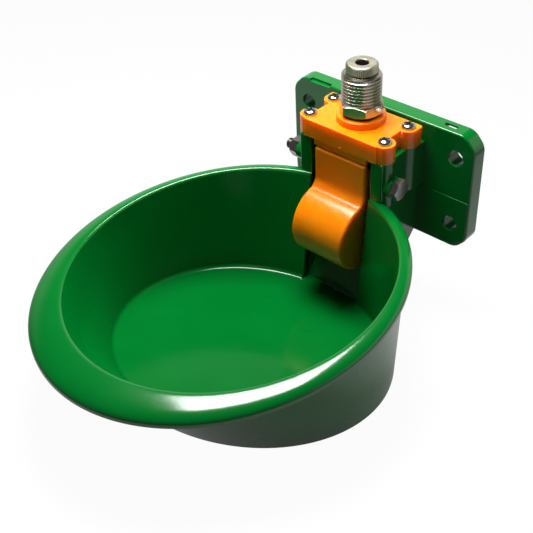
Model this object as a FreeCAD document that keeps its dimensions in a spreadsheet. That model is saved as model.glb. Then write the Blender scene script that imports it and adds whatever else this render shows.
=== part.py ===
import FreeCAD, Part
import Sketcher
import math
import os
import re

# Livestock drinking bowl with a push paddle and a half-inch water valve.
# X runs along the wall plate, +Y points into the wall and +Z up. The origin is the
# centre of the four mounting holes, on the back face of the wall plate.

doc = FreeCAD.newDocument("drinking_bowl")
sheet = doc.addObject("Spreadsheet::Sheet", "Sizes")

SIZES = {
    # Wall plate, cored from behind, with four holes for wall bolts
    "plate_width": 118.8,
    "plate_height": 68.8,
    "plate_thick": 9.1,
    "plate_corner_x": 6.5,
    "plate_corner_z": 7.0,
    "plate_corner_fillet": 3.0,
    "plate_front_fillet": 1.0,
    "plate_skin": 3.4,
    "plate_edge": 3.2,
    "bolt_spacing_x": 97.0,
    "bolt_spacing_z": 40.0,
    "bolt_hole_radius": 4.6,
    "bolt_boss_radius": 8.4,
    "plate_rib": 2.4,
    "plate_rib_spacing": 24.0,
    "notch_left": -47.8,
    "notch_right": -33.5,
    "notch_depth": 1.2,
    "notch_back_y": -6.6,
    "slot_left": 37.7,
    "slot_right": 45.1,
    "slot_front_y": -5.3,
    "slot_back_y": -2.8,
    # Bowl: base oval, inner and outer edge of the rolled rim
    "base_half_x": 77.0,
    "base_half_y": 71.0,
    "base_centre_y": -116.1,
    "base_centre_z": -61.55,
    "base_tilt": 7.2,
    "rim_half_x": 76.6,
    "rim_half_y": 84.0,
    "rim_centre_y": -123.8,
    "rim_centre_z": -1.3,
    "rim_tilt": 1.3,
    "rim_roll_x": 8.4,
    "rim_roll_y": 12.2,
    "lip_forward": 5.6,
    "lip_tilt": 2.0,
    "lip_crown": 3.2,
    "lip_skirt": 1.4,
    "lip_wall": 2.4,
    "bowl_wall": 3.6,
    "bowl_floor": 3.2,
    "floor_fillet": 2.5,
    "base_fillet": 1.6,
    "rim_fillet": 1.6,
    # Valve block that rises behind the bowl and carries the paddle
    "block_half_x": 27.0,
    "block_front_y": -42.0,
    "block_top_z": 23.4,
    "block_fillet": 1.2,
    "niche_half_x": 19.5,
    "niche_back_y": -12.2,
    "niche_knee_z": -27.0,
    "chute_wall": 3.6,
    "niche_reach": 25.0,
    "cut_margin": 5.0,
    "column_radius": 5.4,
    "column_foot_z": -2.0,
    # Cover plate, held by four screws
    "cover_thick": 10.0,
    "cover_skin": 3.6,
    "cover_half_x": 23.3,
    "cover_front_y": -42.5,
    "cover_back_gap": 2.2,
    "cover_wall": 2.8,
    "cover_ear_radius": 5.4,
    "cover_notch_fillet": 1.5,
    "cover_edge_fillet": 0.8,
    "cover_corner_fillet": 3.0,
    "skirt_half_x": 17.0,
    "skirt_drop": 3.4,
    "skirt_step": 0.5,
    "ring_radius": 12.9,
    "ring_height": 3.8,
    "ring_fillet": 0.7,
    "screw_half_x": 24.2,
    "screw_front_y": -36.4,
    "screw_back_y": -16.7,
    "screw_radius": 2.0,
    "screw_length": 20.0,
    "screw_head_radius": 3.65,
    "screw_head_height": 2.3,
    "screw_dome": 1.1,
    "screw_fit": 0.25,
    "thread_fit": 0.05,
    # Pivot bolt, sleeve and nut
    "pivot_y": -35.5,
    "pivot_z": 9.0,
    "pivot_seat_x": 31.2,
    "pivot_boss_radius": 5.6,
    "pivot_radius": 3.0,
    "bolt_head_flats": 10.0,
    "bolt_head_height": 4.0,
    "nut_flats": 10.0,
    "nut_height": 5.0,
    "bolt_thread_rest": 4.5,
    "sleeve_radius": 3.8,
    "sleeve_fit": 0.08,
    "sleeve_gap": 0.2,
    # Push paddle
    "paddle_half_x": 16.8,
    "paddle_front_y": -42.5,
    "paddle_top_z": 18.8,
    "paddle_edge_fillet": 0.8,
    "paddle_wall": 2.6,
    "nose_radius": 19.7,
    "nose_y": -43.0,
    "nose_z": -24.0,
    "nose_fillet": 3.0,
    "hub_radius": 5.8,
    "heel_back_y": -20.5,
    "heel_half_x": 5.0,
    "heel_thick": 4.0,
    "heel_z": 13.7,
    # Water valve
    "valve_y": -24.5,
    "thread_radius": 10.4,
    "thread_length": 15.5,
    "thread_chamfer": 1.3,
    "hex_flats": 21.0,
    "hex_height": 6.0,
    "hex_turn": 18.0,
    "shank_radius": 8.0,
    "shank_drop": 16.9,
    "chamber_radius": 7.0,
    "seat_drop": 8.0,
    "seat_radius": 4.0,
    "guide_height": 2.5,
    "stem_radius": 2.0,
    "stem_fit": 0.08,
    "drain_radius": 1.2,
    "drain_circle": 4.6,
    "gasket_height": 1.3,
    "gasket_radius": 10.0,
    "lock_nut_flats": 19.0,
    "lock_nut_height": 4.5,
    "cap_radius": 8.25,
    "cap_height": 5.0,
    "cap_hole_radius": 3.5,
    "cap_socket": 6.0,
    "cap_fit": 0.05,
    "filter_radius": 6.0,
    "filter_depth": 9.0,
    "filter_wall": 0.8,
    "filter_flange": 1.0,
    "poppet_radius": 5.6,
    "poppet_height": 2.0,
    "seal_radius": 5.6,
    "seal_height": 1.6,
    "clip_radius": 3.3,
    "clip_height": 0.8,
    "stem_gap": 0.3,
    "spring_radius": 4.6,
    "spring_wire": 0.5,
    "spring_gap": 0.1,
}

for row, (alias, value) in enumerate(SIZES.items(), start=1):
    sheet.set("A%d" % row, alias)
    sheet.set("B%d" % row, str(value))
    sheet.setAlias("B%d" % row, alias)
doc.recompute()


def size(alias):
    """Value of one cell of the sheet."""
    return float(getattr(sheet, alias))


def formula(text):
    """Text with every alias pointed at its cell in the sheet."""
    def cell(match):
        word = match.group(0)
        return "Sizes." + word if word in SIZES else word
    return re.sub(r"[a-z]\w*", cell, text)


def bind(item, path, text):
    item.setExpression(path, formula(text))


def make_body(label):
    body = doc.addObject("PartDesign::Body", label)
    body.Label = label
    return body


def place(item, x="0", y="0", z="0"):
    for axis, text in zip("xyz", (x, y, z)):
        bind(item, ".Placement.Base." + axis, text)


def plane(body, role):
    return next(item for item in body.Origin.OriginFeatures if item.Role == role)


def make_sketch(body, name, role, offset="0"):
    """Sketch on one of the body's own planes, moved along the plane's normal."""
    sketch = body.newObject("Sketcher::SketchObject", name)
    sketch.AttachmentSupport = [(plane(body, role), "")]
    sketch.MapMode = "FlatFace"
    bind(sketch, ".AttachmentOffset.Base.z", offset)
    return sketch


def fix_point(sketch, geometry, corner, across, along):
    """Fix one point of a sketch at two formulas, measured from the origin."""
    for kind, axis, text in (("DistanceX", -2, across), ("DistanceY", -1, along)):
        if text == "0":
            sketch.addConstraint(Sketcher.Constraint("PointOnObject", geometry, corner, axis))
            continue
        number = sketch.addConstraint(Sketcher.Constraint(kind, -1, 1, geometry, corner, 1.0))
        bind(sketch, "Constraints[%d]" % number, text)


def add_outline(sketch, corners):
    """Closed outline of straight lines through corners given as pairs of formulas."""
    first = sketch.GeometryCount
    count = len(corners)
    guess = [FreeCAD.Vector(10 * math.cos(2 * math.pi * i / count), 10 * math.sin(2 * math.pi * i / count), 0)
             for i in range(count)]
    for i in range(count):
        sketch.addGeometry(Part.LineSegment(guess[i], guess[(i + 1) % count]), False)
    for i in range(count):
        after = first + (i + 1) % count
        sketch.addConstraint(Sketcher.Constraint("Coincident", first + i, 2, after, 1))
    for i, (across, along) in enumerate(corners):
        fix_point(sketch, first + i, 1, across, along)


def add_circle(sketch, across, along, radius):
    number = sketch.addGeometry(Part.Circle(FreeCAD.Vector(1, 1, 0), FreeCAD.Vector(0, 0, 1), 1), False)
    fix_point(sketch, number, 3, across, along)
    rule = sketch.addConstraint(Sketcher.Constraint("Radius", number, 1.0))
    bind(sketch, "Constraints[%d]" % rule, radius)


def add_hexagon(sketch, flats, turn="0"):
    """Regular hexagon round the origin, given across its flats."""
    corners = []
    for i in range(6):
        angle = "(%d + %s)" % (60 * i, turn)
        corners.append(("(%s) / 2 / cos(30) * cos(%s)" % (flats, angle),
                        "(%s) / 2 / cos(30) * sin(%s)" % (flats, angle)))
    add_outline(sketch, corners)


def box_corners(left, right, low, high):
    return [(left, low), (right, low), (right, high), (left, high)]


def pad(body, sketch, name, length, middle=False, reverse=False):
    feature = body.newObject("PartDesign::Pad", name)
    feature.Profile = sketch
    bind(feature, "Length", length)
    feature.Midplane = middle
    feature.Reversed = reverse
    return feature


LEAST_CUT = 0.01


def pocket(body, sketch, name, length, middle=False, reverse=False):
    """Cut a sketch into the body and stop if the cut takes nothing away."""
    doc.recompute()
    before = body.Shape.Volume
    feature = body.newObject("PartDesign::Pocket", name)
    feature.Profile = sketch
    bind(feature, "Length", length)
    feature.Midplane = middle
    feature.Reversed = reverse
    doc.recompute()
    if not body.Shape.Volume < before - LEAST_CUT:
        raise RuntimeError("%s cuts nothing" % name)
    return feature


def revolve(body, sketch, name, axis="V_Axis"):
    feature = body.newObject("PartDesign::Revolution", name)
    feature.Profile = sketch
    feature.ReferenceAxis = (sketch, [axis])
    feature.Angle = 360
    return feature


def round_edges(body, name, radius, wanted, kind="Fillet"):
    """Fillet or chamfer those edges of the body that the test picks out."""
    doc.recompute()
    base = body.Tip
    names = ["Edge%d" % (i + 1) for i, edge in enumerate(base.Shape.Edges) if wanted(edge)]
    if not names:
        raise RuntimeError("%s finds no edge" % name)
    feature = body.newObject("PartDesign::" + kind, name)
    feature.Base = (base, names)
    bind(feature, "Radius" if kind == "Fillet" else "Size", radius)
    return feature


def join(kind, name, first, second):
    """Union or cut of two shapes."""
    result = doc.addObject(kind, name)
    result.Base = first
    result.Tool = second
    result.Refine = False
    return result


SAME_PLACE = 0.02


def near(value, target, slack=SAME_PLACE):
    return abs(value - target) < slack


def is_upright(line):
    ends = [point.Point for point in line.Vertexes]
    return len(ends) == 2 and near(ends[0].x, ends[1].x) and near(ends[0].y, ends[1].y)


# Heights that several pieces share
COVER_TOP = "(block_top_z + cover_thick)"
RING_TOP = "(block_top_z + cover_thick + ring_height)"
HEX_FOOT = "(block_top_z + cover_thick + ring_height + gasket_height)"
HEX_TOP = "(block_top_z + cover_thick + ring_height + gasket_height + hex_height)"
THREAD_TOP = "(block_top_z + cover_thick + ring_height + gasket_height + hex_height + thread_length)"
SKIN_FOOT = "(block_top_z + cover_thick - cover_skin)"
SHANK_FOOT = "(block_top_z + cover_thick + ring_height - shank_drop)"
SEAT = "(block_top_z + cover_thick + ring_height - seat_drop)"


# Wall plate: a moulded slab with cut corners. Behind its front skin it is cored out,
# and an edge wall, ribs and four bosses round the bolt holes stand on the wall.
plate = make_body("plate_form")

outline = make_sketch(plate, "plate_outline", "XZ_Plane")
HALF_W = "plate_width / 2"
HALF_H = "plate_height / 2"
add_outline(outline, [
    ("-%s + plate_corner_x" % HALF_W, "-%s" % HALF_H),
    ("%s - plate_corner_x" % HALF_W, "-%s" % HALF_H),
    (HALF_W, "-%s + plate_corner_z" % HALF_H),
    (HALF_W, "%s - plate_corner_z" % HALF_H),
    ("%s - plate_corner_x" % HALF_W, HALF_H),
    ("-%s + plate_corner_x" % HALF_W, HALF_H),
    ("-%s" % HALF_W, "%s - plate_corner_z" % HALF_H),
    ("-%s" % HALF_W, "-%s + plate_corner_z" % HALF_H),
])
pad(plate, outline, "plate_slab", "plate_thick")


def is_cut_corner(line):
    box = line.BoundBox
    return near(box.XLength, 0) and near(box.ZLength, 0)


def is_front_outline(line):
    return near(line.BoundBox.YMin, -size("plate_thick")) and near(line.BoundBox.YMax, -size("plate_thick"))


round_edges(plate, "corner_rounding", "plate_corner_fillet", is_cut_corner)
round_edges(plate, "front_rounding", "plate_front_fillet", is_front_outline)

core = make_sketch(plate, "plate_core_outline", "XZ_Plane")
CORE_W = "(plate_width / 2 - plate_edge)"
CORE_H = "(plate_height / 2 - plate_edge)"
add_outline(core, [
    ("-%s + plate_corner_x" % CORE_W, "-%s" % CORE_H),
    ("%s - plate_corner_x" % CORE_W, "-%s" % CORE_H),
    (CORE_W, "-%s + plate_corner_z" % CORE_H),
    (CORE_W, "%s - plate_corner_z" % CORE_H),
    ("%s - plate_corner_x" % CORE_W, CORE_H),
    ("-%s + plate_corner_x" % CORE_W, CORE_H),
    ("-%s" % CORE_W, "%s - plate_corner_z" % CORE_H),
    ("-%s" % CORE_W, "-%s + plate_corner_z" % CORE_H),
])
pocket(plate, core, "plate_core", "plate_thick - plate_skin", reverse=True)

bosses = make_sketch(plate, "boss_circles", "XZ_Plane")
for side in ("", "-"):
    for level in ("", "-"):
        add_circle(bosses, side + "bolt_spacing_x / 2", level + "bolt_spacing_z / 2", "bolt_boss_radius")
pad(plate, bosses, "bolt_bosses", "plate_thick - plate_skin / 2")

for number in range(-2, 3):
    rib = make_sketch(plate, "rib_outline_%d" % (number + 3), "XZ_Plane")
    middle = "%d * plate_rib_spacing" % number
    add_outline(rib, box_corners(middle + " - plate_rib / 2", middle + " + plate_rib / 2",
                                 "-plate_height / 2 + plate_edge / 2", "plate_height / 2 - plate_edge / 2"))
    pad(plate, rib, "rib_%d" % (number + 3), "plate_thick - plate_skin / 2")

cross_rib = make_sketch(plate, "cross_rib_outline", "XZ_Plane")
add_outline(cross_rib, box_corners("-plate_width / 2 + plate_edge / 2", "plate_width / 2 - plate_edge / 2",
                                   "-plate_rib / 2", "plate_rib / 2"))
pad(plate, cross_rib, "cross_rib", "plate_thick - plate_skin / 2")

holes = make_sketch(plate, "hole_circles", "XZ_Plane")
for side in ("", "-"):
    for level in ("", "-"):
        add_circle(holes, side + "bolt_spacing_x / 2", level + "bolt_spacing_z / 2", "bolt_hole_radius")
pocket(plate, holes, "bolt_holes", "plate_thick", reverse=True)

notch = make_sketch(plate, "top_notch_outline", "XY_Plane", "plate_height / 2")
add_outline(notch, box_corners("notch_left", "notch_right", "-plate_thick - cut_margin", "notch_back_y"))
pocket(plate, notch, "top_notch", "notch_depth")

slot = make_sketch(plate, "top_slot_outline", "XY_Plane", "plate_height / 2")
add_outline(slot, box_corners("slot_left", "slot_right", "slot_front_y", "slot_back_y"))
pocket(plate, slot, "top_slot", "2 * plate_edge")


# Valve block: side view extruded across the plate. Its top carries the cover, its
# sloping foot closes the way from the paddle down to the bowl.
block = make_body("block_form")
BASE_BACK_Y = "(base_centre_y + base_half_y)"
BASE_BACK_Z = "(base_centre_z - base_half_y * tan(base_tilt))"

side_view = make_sketch(block, "block_side", "YZ_Plane")
add_outline(side_view, [
    ("-plate_thick + plate_skin / 2", "block_top_z"),
    ("block_front_y", "block_top_z"),
    ("block_front_y", "rim_centre_z - lip_crown - lip_skirt"),
    ("%s - bowl_wall" % BASE_BACK_Y, "rim_centre_z - lip_crown - lip_skirt"),
    ("%s - bowl_wall" % BASE_BACK_Y, "%s + bowl_wall * tan(base_tilt)" % BASE_BACK_Z),
    (BASE_BACK_Y, BASE_BACK_Z),
    ("-plate_thick + plate_skin / 2", "-plate_height / 2 + plate_edge"),
])
pad(block, side_view, "block_solid", "2 * block_half_x", middle=True)
round_edges(block, "block_front_edges", "block_fillet",
            lambda line: is_upright(line) and near(line.CenterOfMass.y, size("block_front_y")))

columns = make_sketch(block, "column_circles", "XY_Plane", "block_top_z")
for side in ("", "-"):
    for depth in ("screw_front_y", "screw_back_y"):
        add_circle(columns, side + "screw_half_x", depth, "column_radius")
pad(block, columns, "screw_columns", "block_top_z - column_foot_z", reverse=True)

pivot_seats = make_sketch(block, "pivot_boss_circle", "YZ_Plane")
add_circle(pivot_seats, "pivot_y", "pivot_z", "pivot_boss_radius")
pad(block, pivot_seats, "pivot_bosses", "2 * pivot_seat_x", middle=True)

web = make_sketch(block, "column_webs", "XY_Plane", "block_top_z")
add_outline(web, box_corners("-screw_half_x - column_radius", "screw_half_x + column_radius",
                             "screw_back_y", "-plate_thick + plate_skin / 2"))
pad(block, web, "back_webs", "block_top_z - column_foot_z", reverse=True)


# Bowl: ovals in tilted planes. Each oval is a scaled circle, so all start at the same
# side and a skin through them doesn't twist. The skins meet at shared ovals and are
# sewn into one closed moulding: floor, wall, rolled rim, hanging lip and gutter.
def oval(half_x, half_y, centre_y, centre_z, tilt):
    return {"half_x": half_x, "half_y": half_y, "centre_y": centre_y, "centre_z": centre_z,
            "slope": math.tan(math.radians(tilt))}


def blend(first, last, share):
    """Oval on the straight way from one oval to another."""
    return {key: first[key] + share * (last[key] - first[key]) for key in first}


def grown(shape, amount, lift=0.0):
    """Oval wider by amount all round and raised by lift."""
    return dict(shape, half_x=shape["half_x"] + amount, half_y=shape["half_y"] + amount,
                centre_z=shape["centre_z"] + lift)


def rounded(first, corner, last, steps):
    """Ovals round a corner, tangent to the ways from the corner to the first and the last."""
    ovals = []
    for step in range(steps + 1):
        share = step / steps
        ovals.append({key: (1 - share) ** 2 * first[key] + 2 * share * (1 - share) * corner[key]
                      + share ** 2 * last[key] for key in corner})
    return ovals


def rolled(first, last, steps):
    """Ovals of a quarter round that leaves the first oval level and reaches the last upright."""
    ovals = []
    for step in range(steps + 1):
        turn = math.radians(90 * step / steps)
        shape = blend(first, last, math.sin(turn))
        fallen = blend(first, last, 1 - math.cos(turn))
        shape["centre_z"] = fallen["centre_z"]
        shape["slope"] = fallen["slope"]
        ovals.append(shape)
    return ovals


def oval_wire(shape):
    matrix = FreeCAD.Matrix(shape["half_x"], 0, 0, 0,
                            0, shape["half_y"], 0, shape["centre_y"],
                            0, shape["slope"] * shape["half_y"], 1, shape["centre_z"],
                            0, 0, 0, 1)
    return Part.Wire([Part.makeCircle(1.0)]).transformGeometry(matrix)


def skin(ovals, ruled=False):
    """Faces through a row of ovals."""
    return Part.makeLoft([oval_wire(shape) for shape in ovals], False, ruled).Faces


def disc(shape):
    return Part.Face(oval_wire(shape))


def sewn(faces):
    shell = Part.makeShell(faces)
    shell.sewShape()
    return Part.makeSolid(shell)


wall = size("bowl_wall")
base = oval(size("base_half_x"), size("base_half_y"), size("base_centre_y"), size("base_centre_z"),
            -size("base_tilt"))
rim = oval(size("rim_half_x"), size("rim_half_y"), size("rim_centre_y"), size("rim_centre_z"),
           size("rim_tilt"))
lip_z = rim["centre_z"] - rim["slope"] * size("lip_forward")
lip = oval(rim["half_x"] + size("rim_roll_x"), rim["half_y"] + size("rim_roll_y"),
           rim["centre_y"] - size("lip_forward"), lip_z, size("lip_tilt"))

# Inside of the bowl, from the floor up over the rim's inner edge
ROUND_STEPS = 4
ROLL_STEPS = 5
floor = grown(base, -wall, size("bowl_floor"))
depth = rim["centre_z"] - floor["centre_z"]
corner = size("floor_fillet")
edge = size("rim_fillet")
floor_round = rounded(grown(floor, -corner), floor, blend(floor, rim, corner / depth), ROUND_STEPS)
edge_round = rounded(blend(floor, rim, 1 - edge / depth), rim, blend(rim, lip, edge / size("rim_roll_x")),
                     ROUND_STEPS)

# Rolled rim, lip and the gutter under them
shoulder = grown(lip, 0, -size("lip_crown"))
rim_roll = rolled(edge_round[-1], shoulder, ROLL_STEPS)
lip_outside = grown(shoulder, 0, -size("lip_skirt"))
lip_inside = grown(lip_outside, -size("lip_wall"))
wall_top = grown(rim, wall, -size("lip_wall"))
gutter_roll = rolled(wall_top, grown(shoulder, -size("lip_wall")), ROLL_STEPS)

# Outside wall down to the base
foot = size("base_fillet")
height = wall_top["centre_z"] - base["centre_z"]
foot_round = rounded(grown(base, -foot), base, blend(base, wall_top, foot / height), ROUND_STEPS)

bowl = doc.addObject("Part::Feature", "bowl_form")
bowl.Shape = sewn(
    disc(floor_round[0]).Faces
    + skin(floor_round)
    + skin([floor_round[-1], edge_round[0]], ruled=True)
    + skin(edge_round)
    + skin(rim_roll)
    + skin([shoulder, lip_outside], ruled=True)
    + disc(lip_outside).cut(disc(lip_inside)).Faces
    + skin([lip_inside, gutter_roll[-1]], ruled=True)
    + skin(gutter_roll)
    + skin([wall_top, foot_round[-1]], ruled=True)
    + skin(foot_round)
    + disc(foot_round[0]).Faces
)

# Plug along the middle of the bowl's wall: it trims the block where it meets the bowl
plug_foot = grown(floor, wall / 2, -size("bowl_floor") / 2)
plug_top = grown(rim, wall / 2, -wall / 2)
plug = doc.addObject("Part::Feature", "bowl_plug")
plug.Shape = Part.makeLoft([oval_wire(plug_foot), oval_wire(plug_top)], True, True)


# Niche: the way through the block for the paddle, from the cover down to the bowl floor
niche = make_body("niche_cut")
niche_side = make_sketch(niche, "niche_side", "YZ_Plane")
FLOOR_AT = "(base_centre_z + bowl_floor - ({0} - base_centre_y) * tan(base_tilt))"
NICHE_FOOT_Y = "(base_centre_y + base_half_y - chute_wall / 2)"
NICHE_REACH_Y = "(base_centre_y + base_half_y - niche_reach)"
add_outline(niche_side, [
    (NICHE_REACH_Y, "block_top_z + cover_thick"),
    ("niche_back_y", "block_top_z + cover_thick"),
    ("niche_back_y", "niche_knee_z"),
    (NICHE_FOOT_Y, FLOOR_AT.format(NICHE_FOOT_Y)),
    (NICHE_REACH_Y, FLOOR_AT.format(NICHE_REACH_Y)),
])
pad(niche, niche_side, "niche_solid", "2 * niche_half_x", middle=True)

# Bore for the pivot bolt and blind holes for the cover screws
pivot_bore = doc.addObject("Part::Cylinder", "pivot_bore")
bind(pivot_bore, "Radius", "pivot_radius + sleeve_fit")
bind(pivot_bore, "Height", "2 * pivot_seat_x + 2 * pivot_boss_radius")
place(pivot_bore, "-pivot_seat_x - pivot_boss_radius", "pivot_y", "pivot_z")
pivot_bore.Placement.Rotation = FreeCAD.Rotation(FreeCAD.Vector(0, 1, 0), 90)

screw_bores = []
for depth in ("front", "back"):
    for side, sign in (("left", "-"), ("right", "")):
        bore = doc.addObject("Part::Cylinder", "screw_bore_%s_%s" % (depth, side))
        bind(bore, "Radius", "screw_radius + thread_fit")
        bind(bore, "Height", "screw_length - cover_thick + screw_fit")
        place(bore, sign + "screw_half_x", "screw_%s_y" % depth,
              "block_top_z - screw_length + cover_thick - screw_fit")
        screw_bores.append(bore)

# Cover plate: closes the block, carries the valve in a raised ring, hollow beneath
cover = make_body("cover_plate")
COVER_BACK_Y = "(-plate_thick - cover_back_gap)"

slab = make_sketch(cover, "cover_slab", "XY_Plane", "block_top_z")
add_outline(slab, box_corners("-cover_half_x", "cover_half_x", "cover_front_y", COVER_BACK_Y))
pad(cover, slab, "cover_body", "cover_thick")

ears = make_sketch(cover, "ear_circles", "XY_Plane", "block_top_z")
for side in ("", "-"):
    for depth_y in ("screw_front_y", "screw_back_y"):
        add_circle(ears, side + "screw_half_x", depth_y, "cover_ear_radius")
pad(cover, ears, "cover_ears", "cover_thick")

back = make_sketch(cover, "ear_webs", "XY_Plane", "block_top_z")
add_outline(back, box_corners("-screw_half_x - cover_ear_radius", "screw_half_x + cover_ear_radius",
                              "screw_back_y", COVER_BACK_Y))
pad(cover, back, "cover_back", "cover_thick")


def is_notch_corner(line):
    middle = line.CenterOfMass
    return (is_upright(line) and near(abs(middle.x), size("cover_half_x"))
            and size("screw_front_y") < middle.y < size("screw_back_y"))


round_edges(cover, "notch_fillets", "cover_notch_fillet", is_notch_corner)
round_edges(cover, "back_corner_rounding", "cover_corner_fillet",
            lambda line: is_upright(line) and near(line.CenterOfMass.y, -size("plate_thick") - size("cover_back_gap")))

COVER_TOP_Z = size("block_top_z") + size("cover_thick")


def is_top_outline(line):
    box = line.BoundBox
    return near(box.ZMin, COVER_TOP_Z) and near(box.ZMax, COVER_TOP_Z)


round_edges(cover, "top_fillet", "cover_edge_fillet", is_top_outline)

ring = make_sketch(cover, "ring_circle", "XY_Plane", COVER_TOP + " - cover_skin / 2")
add_circle(ring, "0", "valve_y", "ring_radius")
pad(cover, ring, "valve_ring", "ring_height + cover_skin / 2")


def is_ring_top(line):
    box = line.BoundBox
    top = COVER_TOP_Z + size("ring_height")
    return near(box.ZMin, top) and near(box.ZMax, top)


round_edges(cover, "ring_fillet_edge", "ring_fillet", is_ring_top)

under = make_sketch(cover, "cover_hollow_outline", "XY_Plane", "block_top_z")
add_outline(under, box_corners("-niche_half_x", "niche_half_x", "cover_front_y + cover_wall",
                               COVER_BACK_Y + " - cover_wall"))
pocket(cover, under, "cover_hollow", "cover_thick - cover_skin", reverse=True)

skirt = make_sketch(cover, "skirt_outline", "XY_Plane", "block_top_z + cover_thick - cover_skin")
add_outline(skirt, box_corners("-skirt_half_x", "skirt_half_x", "cover_front_y + skirt_step",
                               "cover_front_y + cover_wall"))
pad(cover, skirt, "front_skirt", "cover_thick - cover_skin + skirt_drop", reverse=True)

bores = make_sketch(cover, "cover_bores", "XY_Plane", "block_top_z")
add_circle(bores, "0", "valve_y", "shank_radius + cap_fit")
for side in ("", "-"):
    for depth_y in ("screw_front_y", "screw_back_y"):
        add_circle(bores, side + "screw_half_x", depth_y, "screw_radius + screw_fit")
pocket(cover, bores, "valve_and_screw_bores", "cover_thick + ring_height", reverse=True)


# Cover screws: pan heads on the cover, shanks down the block's columns
def make_screw(label, sign, depth_y):
    screw = make_body(label)
    place(screw, sign + "screw_half_x", depth_y, COVER_TOP)
    profile = make_sketch(screw, label + "_profile", "XZ_Plane")
    add_outline(profile, [
        ("0", "screw_head_height"),
        ("screw_head_radius", "screw_head_height"),
        ("screw_head_radius", "0"),
        ("screw_radius", "0"),
        ("screw_radius", "screw_radius - screw_length"),
        ("0", "-screw_length"),
    ])
    revolve(screw, profile, label + "_turned")
    round_edges(screw, label + "_dome", "screw_dome",
                lambda line: near(line.BoundBox.ZMin, size("screw_head_height")))
    return screw


screws = [make_screw("cover_screw_front_left", "-", "screw_front_y"),
          make_screw("cover_screw_front_right", "", "screw_front_y"),
          make_screw("cover_screw_back_left", "-", "screw_back_y"),
          make_screw("cover_screw_back_right", "", "screw_back_y")]


# Pivot: a hexagon bolt through both block walls, its nut, and a sleeve between the walls
bolt = make_body("pivot_bolt")
place(bolt, "0", "pivot_y", "pivot_z")
head = make_sketch(bolt, "bolt_head_hexagon", "YZ_Plane", "pivot_seat_x")
add_hexagon(head, "bolt_head_flats")
pad(bolt, head, "bolt_head", "bolt_head_height")
shank = make_sketch(bolt, "bolt_shank_circle", "YZ_Plane", "pivot_seat_x")
add_circle(shank, "0", "0", "pivot_radius")
pad(bolt, shank, "bolt_shank", "2 * pivot_seat_x + nut_height + bolt_thread_rest", reverse=True)

nut = make_body("pivot_nut")
place(nut, "0", "pivot_y", "pivot_z")
nut_face = make_sketch(nut, "nut_hexagon", "YZ_Plane", "-pivot_seat_x")
add_hexagon(nut_face, "nut_flats")
add_circle(nut_face, "0", "0", "pivot_radius + sleeve_fit / 2")
pad(nut, nut_face, "nut_solid", "nut_height", reverse=True)

sleeve = make_body("pivot_sleeve")
place(sleeve, "0", "pivot_y", "pivot_z")
sleeve_ring = make_sketch(sleeve, "sleeve_ring", "YZ_Plane")
add_circle(sleeve_ring, "0", "0", "sleeve_radius")
add_circle(sleeve_ring, "0", "0", "pivot_radius + sleeve_fit")
pad(sleeve, sleeve_ring, "sleeve_tube", "2 * (niche_half_x - sleeve_gap)", middle=True)


# Push paddle: a half-drum nose under a flat plate, hollow behind, hung from a hub.
# A heel behind the hub lifts the valve stem when the nose is pushed to the wall.
paddle = make_body("paddle")
PLATE_BACK_Y = "(paddle_front_y + paddle_wall)"

drum = make_sketch(paddle, "nose_circle", "YZ_Plane")
add_circle(drum, "nose_y", "nose_z", "nose_radius")
pad(paddle, drum, "nose_drum", "2 * paddle_half_x", middle=True)

rear = make_sketch(paddle, "nose_rear", "YZ_Plane")
add_outline(rear, box_corners(PLATE_BACK_Y, "nose_y + nose_radius + cut_margin",
                              "nose_z - nose_radius - cut_margin", "nose_z + nose_radius + cut_margin"))
pocket(paddle, rear, "nose_rear_cut", "2 * (paddle_half_x + cut_margin)", middle=True)

inside = make_sketch(paddle, "nose_inside", "YZ_Plane")
add_circle(inside, "nose_y", "nose_z", "nose_radius - paddle_wall")
pocket(paddle, inside, "nose_hollow", "2 * (paddle_half_x - paddle_wall)", middle=True)

face = make_sketch(paddle, "face_outline", "YZ_Plane")
add_outline(face, box_corners("paddle_front_y", PLATE_BACK_Y, "nose_z + nose_radius - paddle_wall",
                              "paddle_top_z"))
pad(paddle, face, "face_plate", "2 * paddle_half_x", middle=True)


def is_nose_junction(line):
    box = line.BoundBox
    return (near(box.YMin, size("paddle_front_y")) and near(box.YMax, size("paddle_front_y"))
            and near(box.XLength, 2 * size("paddle_half_x"), 0.1)
            and size("nose_z") < box.ZMin < size("pivot_z"))


round_edges(paddle, "nose_junction", "nose_fillet", is_nose_junction)


def is_face_edge(line):
    box = line.BoundBox
    return (near(box.YMin, size("paddle_front_y")) and near(box.YMax, size("paddle_front_y"))
            and (near(box.ZMin, size("paddle_top_z")) or near(box.XLength, 0)))


round_edges(paddle, "face_rounding", "paddle_edge_fillet", is_face_edge)

for side, turned in (("right", False), ("left", True)):
    sign = "-" if turned else ""
    cheek = make_sketch(paddle, "cheek_%s_outline" % side, "YZ_Plane", sign + "(paddle_half_x - paddle_wall)")
    add_outline(cheek, [
        ("paddle_front_y + paddle_wall / 2", "paddle_top_z - paddle_wall"),
        ("pivot_y", "pivot_z + hub_radius"),
        ("pivot_y + hub_radius", "pivot_z"),
        (PLATE_BACK_Y, "nose_z + nose_radius - paddle_wall"),
        ("paddle_front_y + paddle_wall / 2", "nose_z + nose_radius - paddle_wall"),
    ])
    pad(paddle, cheek, "cheek_" + side, "paddle_wall", reverse=turned)

hub = make_sketch(paddle, "hub_circle", "YZ_Plane")
add_circle(hub, "pivot_y", "pivot_z", "hub_radius")
pad(paddle, hub, "hub", "2 * paddle_half_x", middle=True)

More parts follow.
